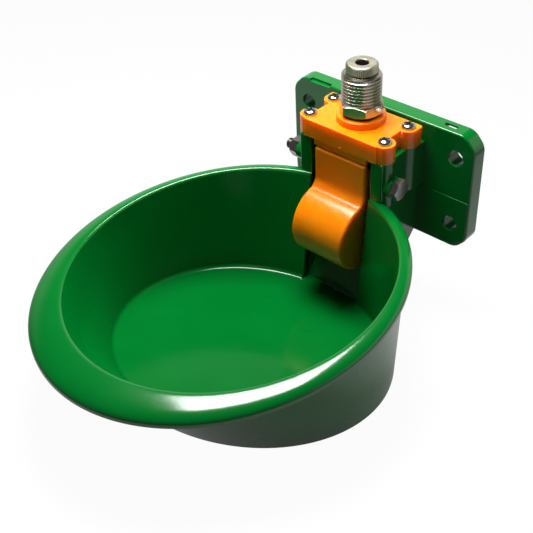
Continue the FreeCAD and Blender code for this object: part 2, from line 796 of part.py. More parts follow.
heel = make_sketch(paddle, "heel_outline", "YZ_Plane")
add_outline(heel, [
    ("pivot_y", "heel_z"),
    ("heel_back_y", "heel_z"),
    ("heel_back_y", "heel_z - heel_thick"),
    ("pivot_y", "pivot_z - hub_radius / 2"),
])
pad(paddle, heel, "heel_arm", "2 * heel_half_x", middle=True)

hub_bore = make_sketch(paddle, "hub_bore_circle", "YZ_Plane")
add_circle(hub_bore, "pivot_y", "pivot_z", "sleeve_radius + sleeve_fit")
pocket(paddle, hub_bore, "hub_bore", "2 * (paddle_half_x + cut_margin)", middle=True)


# Water valve: turned body with an inlet thread, a hexagon and a shank through the cover
valve = make_body("valve_body")
place(valve, "0", "valve_y", "0")
profile = make_sketch(valve, "valve_profile", "XZ_Plane")
GUIDE_TOP = SHANK_FOOT + " + guide_height"
add_outline(profile, [
    ("seat_radius", GUIDE_TOP),
    ("seat_radius", SEAT),
    ("chamber_radius", SEAT),
    ("chamber_radius", THREAD_TOP),
    ("thread_radius - thread_chamfer", THREAD_TOP),
    ("thread_radius", THREAD_TOP + " - thread_chamfer"),
    ("thread_radius", HEX_FOOT),
    ("shank_radius", HEX_FOOT),
    ("shank_radius", SHANK_FOOT),
    ("stem_radius + stem_fit", SHANK_FOOT),
    ("stem_radius + stem_fit", GUIDE_TOP),
])
revolve(valve, profile, "valve_turned")

hexagon = make_sketch(valve, "valve_hexagon", "XY_Plane", HEX_FOOT)
add_hexagon(hexagon, "hex_flats", "hex_turn")
add_circle(hexagon, "0", "0", "(chamber_radius + thread_radius) / 2")
pad(valve, hexagon, "valve_hex", "hex_height")

HEX_OUT = "(hex_flats / 2 / cos(30) + hex_height)"
bevel = make_sketch(valve, "hex_bevel_profile", "XZ_Plane")
add_outline(bevel, [
    ("hex_flats / 2", HEX_TOP),
    (HEX_OUT, HEX_TOP),
    (HEX_OUT, HEX_TOP + " - (%s - hex_flats / 2) * tan(30)" % HEX_OUT),
])
doc.recompute()
hex_bevel = valve.newObject("PartDesign::Groove", "hex_bevel")
hex_bevel.Profile = bevel
hex_bevel.ReferenceAxis = (bevel, ["V_Axis"])
hex_bevel.Angle = 360

drain = make_sketch(valve, "drain_circle_sketch", "XY_Plane", SHANK_FOOT)
add_circle(drain, "0", "drain_circle", "drain_radius")
drain_hole = pocket(valve, drain, "drain_hole", "guide_height", reverse=True)
DRAINS = 4
drains = valve.newObject("PartDesign::PolarPattern", "drain_holes")
drains.Originals = [drain_hole]
drains.Axis = (drain, ["N_Axis"])
drains.Angle = 360
drains.Occurrences = DRAINS
valve.Tip = drains

gasket = make_body("valve_gasket")
place(gasket, "0", "valve_y", "0")
gasket_ring = make_sketch(gasket, "gasket_ring", "XY_Plane", RING_TOP)
add_circle(gasket_ring, "0", "0", "gasket_radius")
add_circle(gasket_ring, "0", "0", "shank_radius + cap_fit")
pad(gasket, gasket_ring, "gasket_solid", "gasket_height")

lock_nut = make_body("valve_lock_nut")
place(lock_nut, "0", "valve_y", "0")
lock_face = make_sketch(lock_nut, "lock_nut_hexagon", "XY_Plane", SKIN_FOOT)
add_hexagon(lock_face, "lock_nut_flats")
add_circle(lock_face, "0", "0", "shank_radius + cap_fit")
pad(lock_nut, lock_face, "lock_nut_solid", "lock_nut_height", reverse=True)

cap = make_body("inlet_cap")
place(cap, "0", "valve_y", THREAD_TOP)
cap_profile = make_sketch(cap, "cap_profile", "XZ_Plane")
add_outline(cap_profile, [
    ("cap_hole_radius", "-cap_socket"),
    ("chamber_radius - cap_fit", "-cap_socket"),
    ("chamber_radius - cap_fit", "0"),
    ("cap_radius", "0"),
    ("cap_radius", "cap_height"),
    ("cap_hole_radius", "cap_height"),
])
revolve(cap, cap_profile, "cap_turned")

strainer = make_body("inlet_filter")
place(strainer, "0", "valve_y", THREAD_TOP + " - cap_socket")
strainer_profile = make_sketch(strainer, "filter_profile", "XZ_Plane")
add_outline(strainer_profile, [
    ("0", "-filter_depth"),
    ("filter_radius", "-filter_depth"),
    ("filter_radius", "-filter_flange"),
    ("chamber_radius - cap_fit", "-filter_flange"),
    ("chamber_radius - cap_fit", "0"),
    ("filter_radius - filter_wall", "0"),
    ("filter_radius - filter_wall", "filter_wall - filter_depth"),
    ("0", "filter_wall - filter_depth"),
])
revolve(strainer, strainer_profile, "filter_cup")

# Valve stem with its seal and clip: the seal lies on the seat, the tip over the heel
stem = make_body("valve_stem")
place(stem, "0", "valve_y", "0")
POPPET_FOOT = SEAT + " + seal_height"
stem_profile = make_sketch(stem, "stem_profile", "XZ_Plane")
add_outline(stem_profile, [
    ("0", "heel_z + stem_gap"),
    ("stem_radius", "heel_z + stem_gap"),
    ("stem_radius", POPPET_FOOT),
    ("poppet_radius", POPPET_FOOT),
    ("poppet_radius", POPPET_FOOT + " + poppet_height"),
    ("0", POPPET_FOOT + " + poppet_height"),
])
revolve(stem, stem_profile, "stem_turned")

seal = make_body("stem_seal")
place(seal, "0", "valve_y", "0")
seal_ring = make_sketch(seal, "seal_ring", "XY_Plane", SEAT)
add_circle(seal_ring, "0", "0", "seal_radius")
add_circle(seal_ring, "0", "0", "stem_radius + cap_fit")
pad(seal, seal_ring, "seal_solid", "seal_height")

clip = make_body("seal_clip")
place(clip, "0", "valve_y", "0")
clip_ring = make_sketch(clip, "clip_ring", "XY_Plane", SEAT)
add_circle(clip_ring, "0", "0", "clip_radius")
add_circle(clip_ring, "0", "0", "stem_radius + cap_fit")
pad(clip, clip_ring, "clip_solid", "clip_height", reverse=True)

# Valve spring between the poppet and the strainer cup
SPRING_TURNS = 6
SPRING_FOOT = "(" + POPPET_FOOT + " + poppet_height + spring_wire + spring_gap)"
SPRING_TOP = "(" + THREAD_TOP + " - cap_socket - filter_depth - spring_wire - spring_gap)"
spring = make_body("valve_spring")
place(spring, "0", "valve_y", SPRING_FOOT)
wire_section = make_sketch(spring, "spring_wire_section", "XZ_Plane")
add_circle(wire_section, "spring_radius", "0", "spring_wire")
coil = spring.newObject("PartDesign::AdditiveHelix", "spring_coil")
coil.Profile = wire_section
coil.ReferenceAxis = (wire_section, ["V_Axis"])
coil.Mode = "pitch-height-angle"
bind(coil, "Height", SPRING_TOP + " - " + SPRING_FOOT)
bind(coil, "Pitch", "(%s - %s) / %d" % (SPRING_TOP, SPRING_FOOT, SPRING_TURNS))

# The whole moulding: plate, block and bowl joined, then the niche and bores cut
trimmed_block = join("Part::Cut", "trimmed_block", block, plug)
fixings = doc.addObject("Part::MultiFuse", "fixing_bores")
fixings.Shapes = [pivot_bore] + screw_bores
backed_plate = join("Part::Fuse", "plate_with_block", plate, trimmed_block)
moulding = join("Part::Fuse", "plate_with_bowl", backed_plate, bowl)
opened = join("Part::Cut", "opened_moulding", moulding, niche)
housing = join("Part::Cut", "bored_moulding", opened, fixings)
housing.Label = "bowl_housing"

doc.recompute()

NODES = [housing, cover] + screws + [bolt, nut, sleeve, paddle, valve, gasket, lock_nut, cap, strainer,
                                     stem, seal, clip, spring]

for item in doc.Objects:
    if "Invalid" in item.State or "Error" in item.State:
        raise RuntimeError("%s failed: %s" % (item.Name, item.State))

os.makedirs("parts", exist_ok=True)
for item in NODES:
    shape = item.Shape
    if shape.isNull() or not shape.isValid() or not shape.Solids:
        raise RuntimeError("%s has no valid solid" % item.Label)
    shape.exportStep(os.path.join("parts", item.Label + ".step"))
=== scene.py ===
import math

import bmesh
import bpy
from mathutils import Matrix, Vector


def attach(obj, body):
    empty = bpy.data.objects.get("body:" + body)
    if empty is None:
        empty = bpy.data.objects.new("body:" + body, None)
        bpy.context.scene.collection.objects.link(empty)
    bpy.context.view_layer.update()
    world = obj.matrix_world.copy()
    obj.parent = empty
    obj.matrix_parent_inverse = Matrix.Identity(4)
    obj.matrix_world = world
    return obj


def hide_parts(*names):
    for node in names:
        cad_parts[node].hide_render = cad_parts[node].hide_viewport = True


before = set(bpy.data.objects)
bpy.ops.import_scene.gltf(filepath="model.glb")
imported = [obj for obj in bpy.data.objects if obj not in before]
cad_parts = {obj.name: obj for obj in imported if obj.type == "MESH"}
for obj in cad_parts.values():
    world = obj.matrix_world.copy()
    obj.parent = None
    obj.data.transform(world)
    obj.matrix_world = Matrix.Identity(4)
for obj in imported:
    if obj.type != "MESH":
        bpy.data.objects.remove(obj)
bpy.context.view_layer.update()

scene = bpy.context.scene
scene.view_settings.view_transform = "Standard"
MM = 0.001


# Camera: where the photographer stood, to the right of the bowl and above it.
# Its place and turn come from fitting the bowl's known shapes to the photograph.
CAMERA_PLACE_MM = Vector((251.8, -355.0, 271.0))
CAMERA_RIGHT = Vector((0.7442, 0.6669, -0.0380))
CAMERA_UP = Vector((-0.3926, 0.4827, 0.7829))
PICTURE_PX = 533
FOCAL_PX = 914
CENTRE_PX = (279.5, 258.5)
SENSOR_MM = 36

camera_data = bpy.data.cameras.new("photo_camera")
camera_data.sensor_width = SENSOR_MM
camera_data.lens = FOCAL_PX / PICTURE_PX * SENSOR_MM
camera_data.shift_x = 0.5 - CENTRE_PX[0] / PICTURE_PX
camera_data.shift_y = CENTRE_PX[1] / PICTURE_PX - 0.5
camera = bpy.data.objects.new("photo_camera", camera_data)
camera_right = CAMERA_RIGHT.normalized()
camera_back = camera_right.cross(CAMERA_UP).normalized()
camera_turn = Matrix((camera_right, camera_back.cross(camera_right), camera_back)).transposed()
camera.matrix_world = Matrix.Translation(CAMERA_PLACE_MM * MM) @ camera_turn.to_4x4()
scene.collection.objects.link(camera)
scene.camera = camera


# Studio: a sweep of white paper that follows the bowl's tilted base and lies level in front
# of it. A softbox hangs above, a little to the left, and the room is dark but for a pale
# backdrop behind.
BASE_CENTRE_MM = Vector((0, -116.1, -61.55))
BASE_TILT = math.radians(7.2)
FLOOR_SIZE_MM = 4000
FLOOR_FOLD_Y = -205
PAPER_GLOW = 0.96
MIRRORED_GLOW = 0.3
# A Mix node's sockets for colours come after those for numbers.
MIX_FIRST = 6
MIX_SECOND = 7
MIX_RESULT = 2


def linear(text):
    """Linear colour of an sRGB hex value."""
    parts = [int(text[i:i + 2], 16) / 255 for i in (1, 3, 5)]
    return tuple(p / 12.92 if p <= 0.04045 else ((p + 0.055) / 1.055) ** 2.4 for p in parts) + (1.0,)


def add_node(tree, kind, inputs=(), **settings):
    """Add a shader node. Inputs are named or numbered and take a socket or a value."""
    made = tree.nodes.new(kind)
    for name, value in settings.items():
        setattr(made, name, value)
    for name, value in dict(inputs).items():
        if isinstance(value, bpy.types.NodeSocket):
            tree.links.new(value, made.inputs[name])
        else:
            made.inputs[name].default_value = value
    return made


WHITE = linear("#FFFFFF")

# Matt white paper. The camera sees it almost as white as the air round it, with a faint shadow
# of the bowl, and metal and gloss mirror a share of that white.
paper = bpy.data.materials.new("white_paper_sweep")
paper.use_nodes = True
tree = paper.node_tree
tree.nodes.clear()
path = add_node(tree, "ShaderNodeLightPath")
mirrored = add_node(tree, "ShaderNodeMath",
                    {0: path.outputs["Is Glossy Ray"], 1: path.outputs["Is Transmission Ray"]},
                    operation="MAXIMUM")
dimmed = add_node(tree, "ShaderNodeMath", {0: mirrored.outputs[0], 1: MIRRORED_GLOW}, operation="MULTIPLY")
seen = add_node(tree, "ShaderNodeMath", {0: path.outputs["Is Camera Ray"], 1: dimmed.outputs[0]},
                operation="MAXIMUM")
tone = add_node(tree, "ShaderNodeMix",
                {0: seen.outputs[0], MIX_FIRST: linear("#909090"), MIX_SECOND: linear("#F4F4F4")},
                data_type="RGBA")
lit_paper = add_node(tree, "ShaderNodeBsdfDiffuse", {"Color": tone.outputs[MIX_RESULT]})
glow = add_node(tree, "ShaderNodeEmission", {"Color": WHITE, "Strength": 1.0})
own_light = add_node(tree, "ShaderNodeMath", {0: seen.outputs[0], 1: PAPER_GLOW}, operation="MULTIPLY")
surface = add_node(tree, "ShaderNodeMixShader",
                   {0: own_light.outputs[0], 1: lit_paper.outputs[0], 2: glow.outputs[0]})
add_node(tree, "ShaderNodeOutputMaterial", {"Surface": surface.outputs[0]})

floor_mesh = bpy.data.meshes.new("paper_floor")
floor = bpy.data.objects.new("paper_floor", floor_mesh)
shape = bmesh.new()
under_base = Matrix.Translation(BASE_CENTRE_MM * MM) @ Matrix.Rotation(-BASE_TILT, 4, "X")
bmesh.ops.create_grid(shape, x_segments=1, y_segments=1, size=FLOOR_SIZE_MM * MM / 2, matrix=under_base)
bmesh.ops.bisect_plane(shape, geom=shape.verts[:] + shape.edges[:] + shape.faces[:],
                       plane_co=(0, FLOOR_FOLD_Y * MM, 0), plane_no=(0, 1, 0))
fold_z = BASE_CENTRE_MM.z + math.tan(BASE_TILT) * (BASE_CENTRE_MM.y - FLOOR_FOLD_Y)
for vert in shape.verts:
    vert.co.z = min(vert.co.z, fold_z * MM)
shape.to_mesh(floor_mesh)
shape.free()
floor_mesh.materials.append(paper)
scene.collection.objects.link(floor)

# The backdrop's light, by the direction looked in: it fades out at a height, and to the front.
BACKDROP_EDGE_Z = (0.47, 0.6)
BACKDROP_TURN_Y = (-0.2, 0.5)
FRONT_LIGHT = 0.06
BACK_LIGHT = 0.8
ROOM_LIGHT = 0.035
world = bpy.data.worlds.new("studio")
scene.world = world
world.use_nodes = True
tree = world.node_tree
tree.nodes.clear()
path = add_node(tree, "ShaderNodeLightPath")
direction = add_node(tree, "ShaderNodeTexCoord")
looked_in = add_node(tree, "ShaderNodeSeparateXYZ", {0: direction.outputs["Generated"]})
below_edge = add_node(tree, "ShaderNodeMapRange",
                      {"Value": looked_in.outputs["Z"], "From Min": BACKDROP_EDGE_Z[0],
                       "From Max": BACKDROP_EDGE_Z[1], "To Min": 1.0, "To Max": 0.0})
behind = add_node(tree, "ShaderNodeMapRange",
                  {"Value": looked_in.outputs["Y"], "From Min": BACKDROP_TURN_Y[0],
                   "From Max": BACKDROP_TURN_Y[1], "To Min": FRONT_LIGHT, "To Max": BACK_LIGHT})
backdrop = add_node(tree, "ShaderNodeMath", {0: below_edge.outputs[0], 1: behind.outputs[0]},
                    operation="MULTIPLY")
room = add_node(tree, "ShaderNodeMath", {0: backdrop.outputs[0], 1: ROOM_LIGHT}, operation="ADD")
strength = add_node(tree, "ShaderNodeMath", {0: path.outputs["Is Camera Ray"], 1: room.outputs[0]},
                    operation="MAXIMUM")
studio = add_node(tree, "ShaderNodeBackground", {"Color": WHITE, "Strength": strength.outputs[0]})
add_node(tree, "ShaderNodeOutputWorld", {"Surface": studio.outputs[0]})

SOFTBOX_PLACE_MM = Vector((-72, -36, 350))
SOFTBOX_AIM_MM = Vector((0, -110, -20))
SOFTBOX_SIDE_MM = 190
SOFTBOX_WATTS = 3.6
softbox_data = bpy.data.lights.new("key_softbox", "AREA")
softbox_data.shape = "SQUARE"
softbox_data.size = SOFTBOX_SIDE_MM * MM
softbox_data.energy = SOFTBOX_WATTS
softbox = bpy.data.objects.new("key_softbox", softbox_data)
softbox_turn = (SOFTBOX_PLACE_MM - SOFTBOX_AIM_MM).to_track_quat("Z", "Y").to_matrix()
softbox.matrix_world = Matrix.Translation(SOFTBOX_PLACE_MM * MM) @ softbox_turn.to_4x4()
scene.collection.objects.link(softbox)


# Bowl: the round part of the green moulding. Its floor and base are ovals in a plane that
# tilts 7.2 degrees, its wall leans out to a rolled rim, and the back is open for the paddle.
WALL = 3.6
FLOOR_THICK = 3.2
FLOOR_FILLET = 2.5
BASE_FILLET = 1.6
RIM_FILLET = 1.6
RIM_ROLL = (8.4, 12.2)
LIP_FORWARD = 5.6
LIP_TILT = 2.0
LIP_CROWN = 3.2
LIP_SKIRT = 1.4
LIP_WALL = 2.4
OVAL_SEGMENTS = 224
FILLET_STEPS = 5
ROLL_STEPS = 14
GUTTER_STEPS = 8
FOOT_STEPS = 4


def oval(half_x, half_y, centre_y, centre_z, tilt):
    """Oval in a plane that tilts about X. The skin of the bowl runs through a row of them."""
    return {"half_x": half_x, "half_y": half_y, "centre_y": centre_y, "centre_z": centre_z,
            "slope": math.tan(math.radians(tilt))}


def blend(first, last, share):
    """Oval a share of the way from the first to the last."""
    return {key: first[key] + share * (last[key] - first[key]) for key in first}


def grown(level, amount, lift=0.0):
    """Oval that is wider all round by an amount, and lifted."""
    return dict(level, half_x=level["half_x"] + amount, half_y=level["half_y"] + amount,
                centre_z=level["centre_z"] + lift)


def rounded(first, corner, last, steps):
    """Ovals round a corner, tangent to the ways that meet there."""
    ovals = []
    for step in range(steps + 1):
        share = step / steps
        ovals.append({key: (1 - share) ** 2 * first[key] + 2 * share * (1 - share) * corner[key]
                      + share ** 2 * last[key] for key in corner})
    return ovals


def rolled(first, last, steps):
    """Ovals of a quarter round that leaves the first level and reaches the last upright."""
    ovals = []
    for step in range(steps + 1):
        turn = math.radians(90 * step / steps)
        fallen = blend(first, last, 1 - math.cos(turn))
        ovals.append(dict(blend(first, last, math.sin(turn)), centre_z=fallen["centre_z"],
                          slope=fallen["slope"]))
    return ovals


def oval_matrix(level):
    """Matrix that takes a circle of radius 1 to an oval."""
    return Matrix(((level["half_x"], 0, 0, 0), (0, level["half_y"], 0, level["centre_y"]),
                   (0, level["slope"] * level["half_y"], 1, level["centre_z"]), (0, 0, 0, 1)))


def lofted(ovals):
    """Closed skin through a row of ovals, with a face at each end."""
    shape = bmesh.new()
    bmesh.ops.create_circle(shape, cap_ends=True, segments=OVAL_SEGMENTS, radius=1.0,
                            matrix=oval_matrix(ovals[0]))
    edges = shape.edges[:]
    for before, after in zip(ovals, ovals[1:]):
        grew = bmesh.ops.extrude_edge_only(shape, edges=edges)["geom"]
        edges = [item for item in grew
                 if isinstance(item, bmesh.types.BMEdge) and not item.link_faces[1:]]
        verts = [item for item in grew if isinstance(item, bmesh.types.BMVert)]
        bmesh.ops.transform(shape, matrix=oval_matrix(after) @ oval_matrix(before).inverted(), verts=verts)
    bmesh.ops.contextual_create(shape, geom=edges)
    bmesh.ops.recalc_face_normals(shape, faces=shape.faces[:])
    return shape


# Glossy injection-moulded polypropylene, dyed through. The tool was polished, so lamps show
# as clear shapes, and a faint waviness and cloudy flow marks break them up. Light bleeds into
# the orange, so its edges and shaded faces glow redder.
def moulded_plastic(name, pale, deep, roughness, bleed=0.0):
    FLOW_MARK_MM = 28
    WAVE_MM = 5
    WAVE_HEIGHT_MM = 0.05
    GRAIN_MM = 0.5           # the tool's own grain, under 0.1 mm, would be too fine to show
    GRAIN_HEIGHT_MM = 0.004
    GLOSS_SPREAD = (0.85, 1.2)
    POLYPROPYLENE_IOR = 1.49
    BLEED_MM = 9
    BLEED_BY_COLOUR = (1.0, 0.2, 0.06)
    material = bpy.data.materials.new(name)
    material.use_nodes = True
    tree = material.node_tree
    tree.nodes.clear()
    where = add_node(tree, "ShaderNodeTexCoord").outputs["Object"]
    flow = add_node(tree, "ShaderNodeTexNoise",
                    {"Vector": where, "Scale": 1 / (FLOW_MARK_MM * MM), "Detail": 3.0})
    dye = add_node(tree, "ShaderNodeMix",
                   {0: flow.outputs["Fac"], MIX_FIRST: linear(deep), MIX_SECOND: linear(pale)},
                   data_type="RGBA")
    gloss = add_node(tree, "ShaderNodeMapRange",
                     {"Value": flow.outputs["Fac"], "To Min": roughness * GLOSS_SPREAD[0],
                      "To Max": roughness * GLOSS_SPREAD[1]})
    waves = add_node(tree, "ShaderNodeTexNoise",
                     {"Vector": where, "Scale": 1 / (WAVE_MM * MM), "Detail": 1.0})
    grain = add_node(tree, "ShaderNodeTexNoise",
                     {"Vector": where, "Scale": 1 / (GRAIN_MM * MM), "Detail": 2.0})
    wavy = add_node(tree, "ShaderNodeBump",
                    {"Height": waves.outputs["Fac"], "Distance": WAVE_HEIGHT_MM * MM, "Strength": 0.5})
    grainy = add_node(tree, "ShaderNodeBump",
                      {"Height": grain.outputs["Fac"], "Distance": GRAIN_HEIGHT_MM * MM, "Strength": 0.4,
                       "Normal": wavy.outputs[0]})
    body = add_node(tree, "ShaderNodeBsdfPrincipled",
                    {"Base Color": dye.outputs[MIX_RESULT], "Roughness": gloss.outputs[0],
                     "IOR": POLYPROPYLENE_IOR, "Subsurface Weight": bleed,
                     "Subsurface Radius": BLEED_BY_COLOUR, "Subsurface Scale": BLEED_MM * MM,
                     "Normal": grainy.outputs[0]})
    add_node(tree, "ShaderNodeOutputMaterial", {"Surface": body.outputs[0]})
    return material


green = moulded_plastic("green_moulded_polypropylene", "#006824", "#005E1E", 0.14)

base = oval(77.0, 71.0, BASE_CENTRE_MM.y, BASE_CENTRE_MM.z, -math.degrees(BASE_TILT))
rim = oval(76.6, 84.0, -123.8, -1.3, 1.3)
lip = oval(rim["half_x"] + RIM_ROLL[0], rim["half_y"] + RIM_ROLL[1], rim["centre_y"] - LIP_FORWARD,
           rim["centre_z"] - rim["slope"] * LIP_FORWARD, LIP_TILT)
bowl_floor = grown(base, -WALL, FLOOR_THICK)
depth = rim["centre_z"] - bowl_floor["centre_z"]
floor_round = rounded(grown(bowl_floor, -FLOOR_FILLET), bowl_floor,
                      blend(bowl_floor, rim, FLOOR_FILLET / depth), FILLET_STEPS)
edge_round = rounded(blend(bowl_floor, rim, 1 - RIM_FILLET / depth), rim,
                     blend(rim, lip, RIM_FILLET / RIM_ROLL[0]), FILLET_STEPS)
shoulder = grown(lip, 0, -LIP_CROWN)
rim_roll = rolled(edge_round[-1], shoulder, ROLL_STEPS)
lip_outside = grown(shoulder, 0, -LIP_SKIRT)
lip_inside = grown(lip_outside, -LIP_WALL)
wall_top = grown(rim, WALL, -LIP_WALL)
gutter_roll = rolled(wall_top, grown(shoulder, -LIP_WALL), GUTTER_STEPS)
wall_height = wall_top["centre_z"] - base["centre_z"]
foot_round = rounded(grown(base, -BASE_FILLET), base, blend(base, wall_top, BASE_FILLET / wall_height),
                     FOOT_STEPS)
bowl = lofted(floor_round + edge_round + rim_roll[1:] + [lip_outside, lip_inside] + gutter_roll[::-1]
              + foot_round[::-1])


# Niche: the opening in which the paddle hangs, with a chute that takes the water down from
# the valve. It is cored out of the bowl's back and of the valve block.
BLOCK_TOP = 23.4
COVER_THICK = 10.0
NICHE_HALF_X = 19.5
NICHE_BACK_Y = -12.2
NICHE_KNEE_Z = -27.0
NICHE_REACH = 25.0
CHUTE_WALL = 3.6
CREASE_ANGLE = math.radians(32)
AXIS_TURN = {"X": Matrix(((0, 0, 1), (1, 0, 0), (0, 1, 0))),
             "Y": Matrix(((1, 0, 0), (0, 0, 1), (0, 1, 0))),
             "Z": Matrix.Identity(3)}


def prism(outline, axis, start, end):
    """Solid between two planes across an axis. The outline gives (y, z), (x, z) or (x, y)."""
    shape = bmesh.new()
    verts = [shape.verts.new((across, along, start)) for across, along in outline]
    foot = shape.faces.new(verts)
    top = bmesh.ops.extrude_face_region(shape, geom=[foot])["geom"]
    bmesh.ops.translate(shape, vec=(0, 0, end - start),
                        verts=[item for item in top if isinstance(item, bmesh.types.BMVert)])
    bmesh.ops.transform(shape, matrix=AXIS_TURN[axis].to_4x4(), verts=shape.verts[:])
    bmesh.ops.recalc_face_normals(shape, faces=shape.faces[:])
    return shape


def combined(first, second, operation):
    """Boolean of two shapes, DIFFERENCE, UNION or INTERSECT."""
    holders = []
    for shape in (first, second):
        mesh = bpy.data.meshes.new("shape")
        shape.to_mesh(mesh)
        shape.free()
        holder = bpy.data.objects.new("shape", mesh)
        scene.collection.objects.link(holder)
        holders.append(holder)
    modifier = holders[0].modifiers.new("combine", "BOOLEAN")
    modifier.object = holders[1]
    modifier.operation = operation
    modifier.solver = "EXACT"
    result = bmesh.new()
    result.from_object(holders[0], bpy.context.evaluated_depsgraph_get())
    for holder in holders:
        bpy.data.objects.remove(holder)
    return result


def make_piece(name, shape, material, body, slot, *nodes):
    """Turn a shape in millimetres into a piece that rides on a body and stands for CAD nodes."""
    bmesh.ops.scale(shape, vec=(MM, MM, MM), verts=shape.verts[:])
    for face in shape.faces:
        face.smooth = True
    for edge in shape.edges:
        edge.smooth = edge.calc_face_angle(0) < CREASE_ANGLE
    mesh = bpy.data.meshes.new(name)
    shape.to_mesh(mesh)
    shape.free()
    mesh.materials.append(material)
    piece = bpy.data.objects.new(name, mesh)
    scene.collection.objects.link(piece)
    even = piece.modifiers.new("even_shading", "WEIGHTED_NORMAL")
    even.keep_sharp = True
    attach(piece, body)
    if nodes:
        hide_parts(*nodes)


base_back_y = base["centre_y"] + base["half_y"]


def floor_height(y):
    """Height of the bowl's tilted floor."""
    return bowl_floor["centre_z"] + bowl_floor["slope"] * (y - bowl_floor["centre_y"])


def niche():
    foot_y = base_back_y - CHUTE_WALL / 2
    reach_y = base_back_y - NICHE_REACH
    top = BLOCK_TOP + COVER_THICK
    side = [(reach_y, top), (NICHE_BACK_Y, top), (NICHE_BACK_Y, NICHE_KNEE_Z),
            (foot_y, floor_height(foot_y)), (reach_y, floor_height(reach_y))]
    return prism(side, "X", -NICHE_HALF_X, NICHE_HALF_X)


bowl = combined(bowl, niche(), "DIFFERENCE")
make_piece("bowl", bowl, green, "housing", "green_plastic", "bowl_housing")


# Ejector marks: the round faces of the pins that push the moulding out of its tool. They
# stand a tenth of a millimetre proud of the bowl's floor.
EJECTOR_MARKS = [(-59.8, -131.1), (13.6, -85.3), (-23.1, -77.8)]
EJECTOR_RADIUS = 3.0
EJECTOR_PROUD = 0.12
SHARP_ANGLE = math.radians(50)


def circle(centre, radius, steps=48):
    return [(centre[0] + radius * math.cos(2 * math.pi * i / steps),
             centre[1] + radius * math.sin(2 * math.pi * i / steps)) for i in range(steps)]


def is_sharp(edge):
    return edge.calc_face_angle(0) > SHARP_ANGLE


def rounded_off(shape, radius, wanted, segments=3):
    """Round those edges of a shape that the test picks out."""
    edges = [edge for edge in shape.edges if wanted(edge)]
    bmesh.ops.bevel(shape, geom=edges, offset=radius, offset_type="OFFSET", segments=segments, profile=0.5,
                    affect="EDGES", clamp_overlap=True, material=-1)


def together(*shapes):
    """Several closed shapes in one mesh."""
    whole = bmesh.new()
    for shape in shapes:
        mesh = bpy.data.meshes.new("shape")
        shape.to_mesh(mesh)
        shape.free()
        whole.from_mesh(mesh)
        bpy.data.meshes.remove(mesh)
    return whole


def placed(shape, place, turn=None):
    """Turn a shape about the origin and move it to its place."""
    matrix = Matrix.Translation(place)
    if turn:
        matrix = matrix @ turn
    bmesh.ops.transform(shape, matrix=matrix, verts=shape.verts[:])
    return shape


marks = []
for x, y in EJECTOR_MARKS:
    mark = prism(circle((0, 0), EJECTOR_RADIUS), "Z", -FLOOR_THICK / 2, EJECTOR_PROUD)
    rounded_off(mark, EJECTOR_PROUD / 2, is_sharp, 2)
    marks.append(placed(mark, (x, y, floor_height(y)), Matrix.Rotation(-BASE_TILT, 4, "X")))
make_piece("ejector_marks", together(*marks), green, "housing", "green_plastic", "bowl_housing")


# Wall plate: the flat part of the moulding, 119 by 69 mm with cut corners, and its lower half
# a shallow step proud. It is cored out from behind, with ribs and four bosses round the holes
# for wall bolts, and a notch and a slot open its top edge.
PLATE_HALF_X = 59.4
PLATE_HALF_Z = 34.4
PLATE_THICK = 9.1
PLATE_CORNER = (6.5, 7.0)
PLATE_CORNER_ROUND = 3.0
PLATE_SKIN = 3.4
PLATE_EDGE = 3.2
PLATE_ROUND = 1.0
BOLT_X = 48.5
BOLT_Z = 20.0
BOLT_HOLE_RADIUS = 4.6
BOLT_BOSS_RADIUS = 8.4
RIB = 2.4
RIB_SPACING = 24.0
STEP_Z = -3.6
STEP_PROUD = 0.45
NOTCH_X = (-47.8, -33.5)
NOTCH_BACK_Y = -6.6
NOTCH_DEPTH = 1.2
SLOT_X = (37.7, 45.1)
SLOT_Y = (-5.3, -2.8)
SLOT_SKIN = 1.0
CUT_ROUND = 0.6
MARGIN = 2.0             # how far a cutting form reaches past what it cuts
LAP = 1.0                # how far a form reaches into the one it joins
NEAR = 0.01              # a point nearer than this to a plane lies in it


def box(left, right, low, high):
    return [(left, low), (right, low), (right, high), (left, high)]


def cut_corner_box(half_across, half_along):
    cut_x, cut_z = PLATE_CORNER
    return [(-half_across + cut_x, -half_along), (half_across - cut_x, -half_along),
            (half_across, -half_along + cut_z), (half_across, half_along - cut_z),
            (half_across - cut_x, half_along), (-half_across + cut_x, half_along),
            (-half_across, half_along - cut_z), (-half_across, -half_along + cut_z)]


def runs_along(axis):
    """Test for edges that run along an axis, 0 for X, 1 for Y and 2 for Z."""
    return lambda edge: abs(edge.verts[0].co[axis] - edge.verts[1].co[axis]) > 1


def sharp_before(y):
    """Test for sharp edges that reach forward of a plane."""
    return lambda edge: is_sharp(edge) and min(vert.co.y for vert in edge.verts) < y


def bolt_hole(place):
    return prism(circle(place, BOLT_HOLE_RADIUS), "Y", -PLATE_THICK - MARGIN, MARGIN)


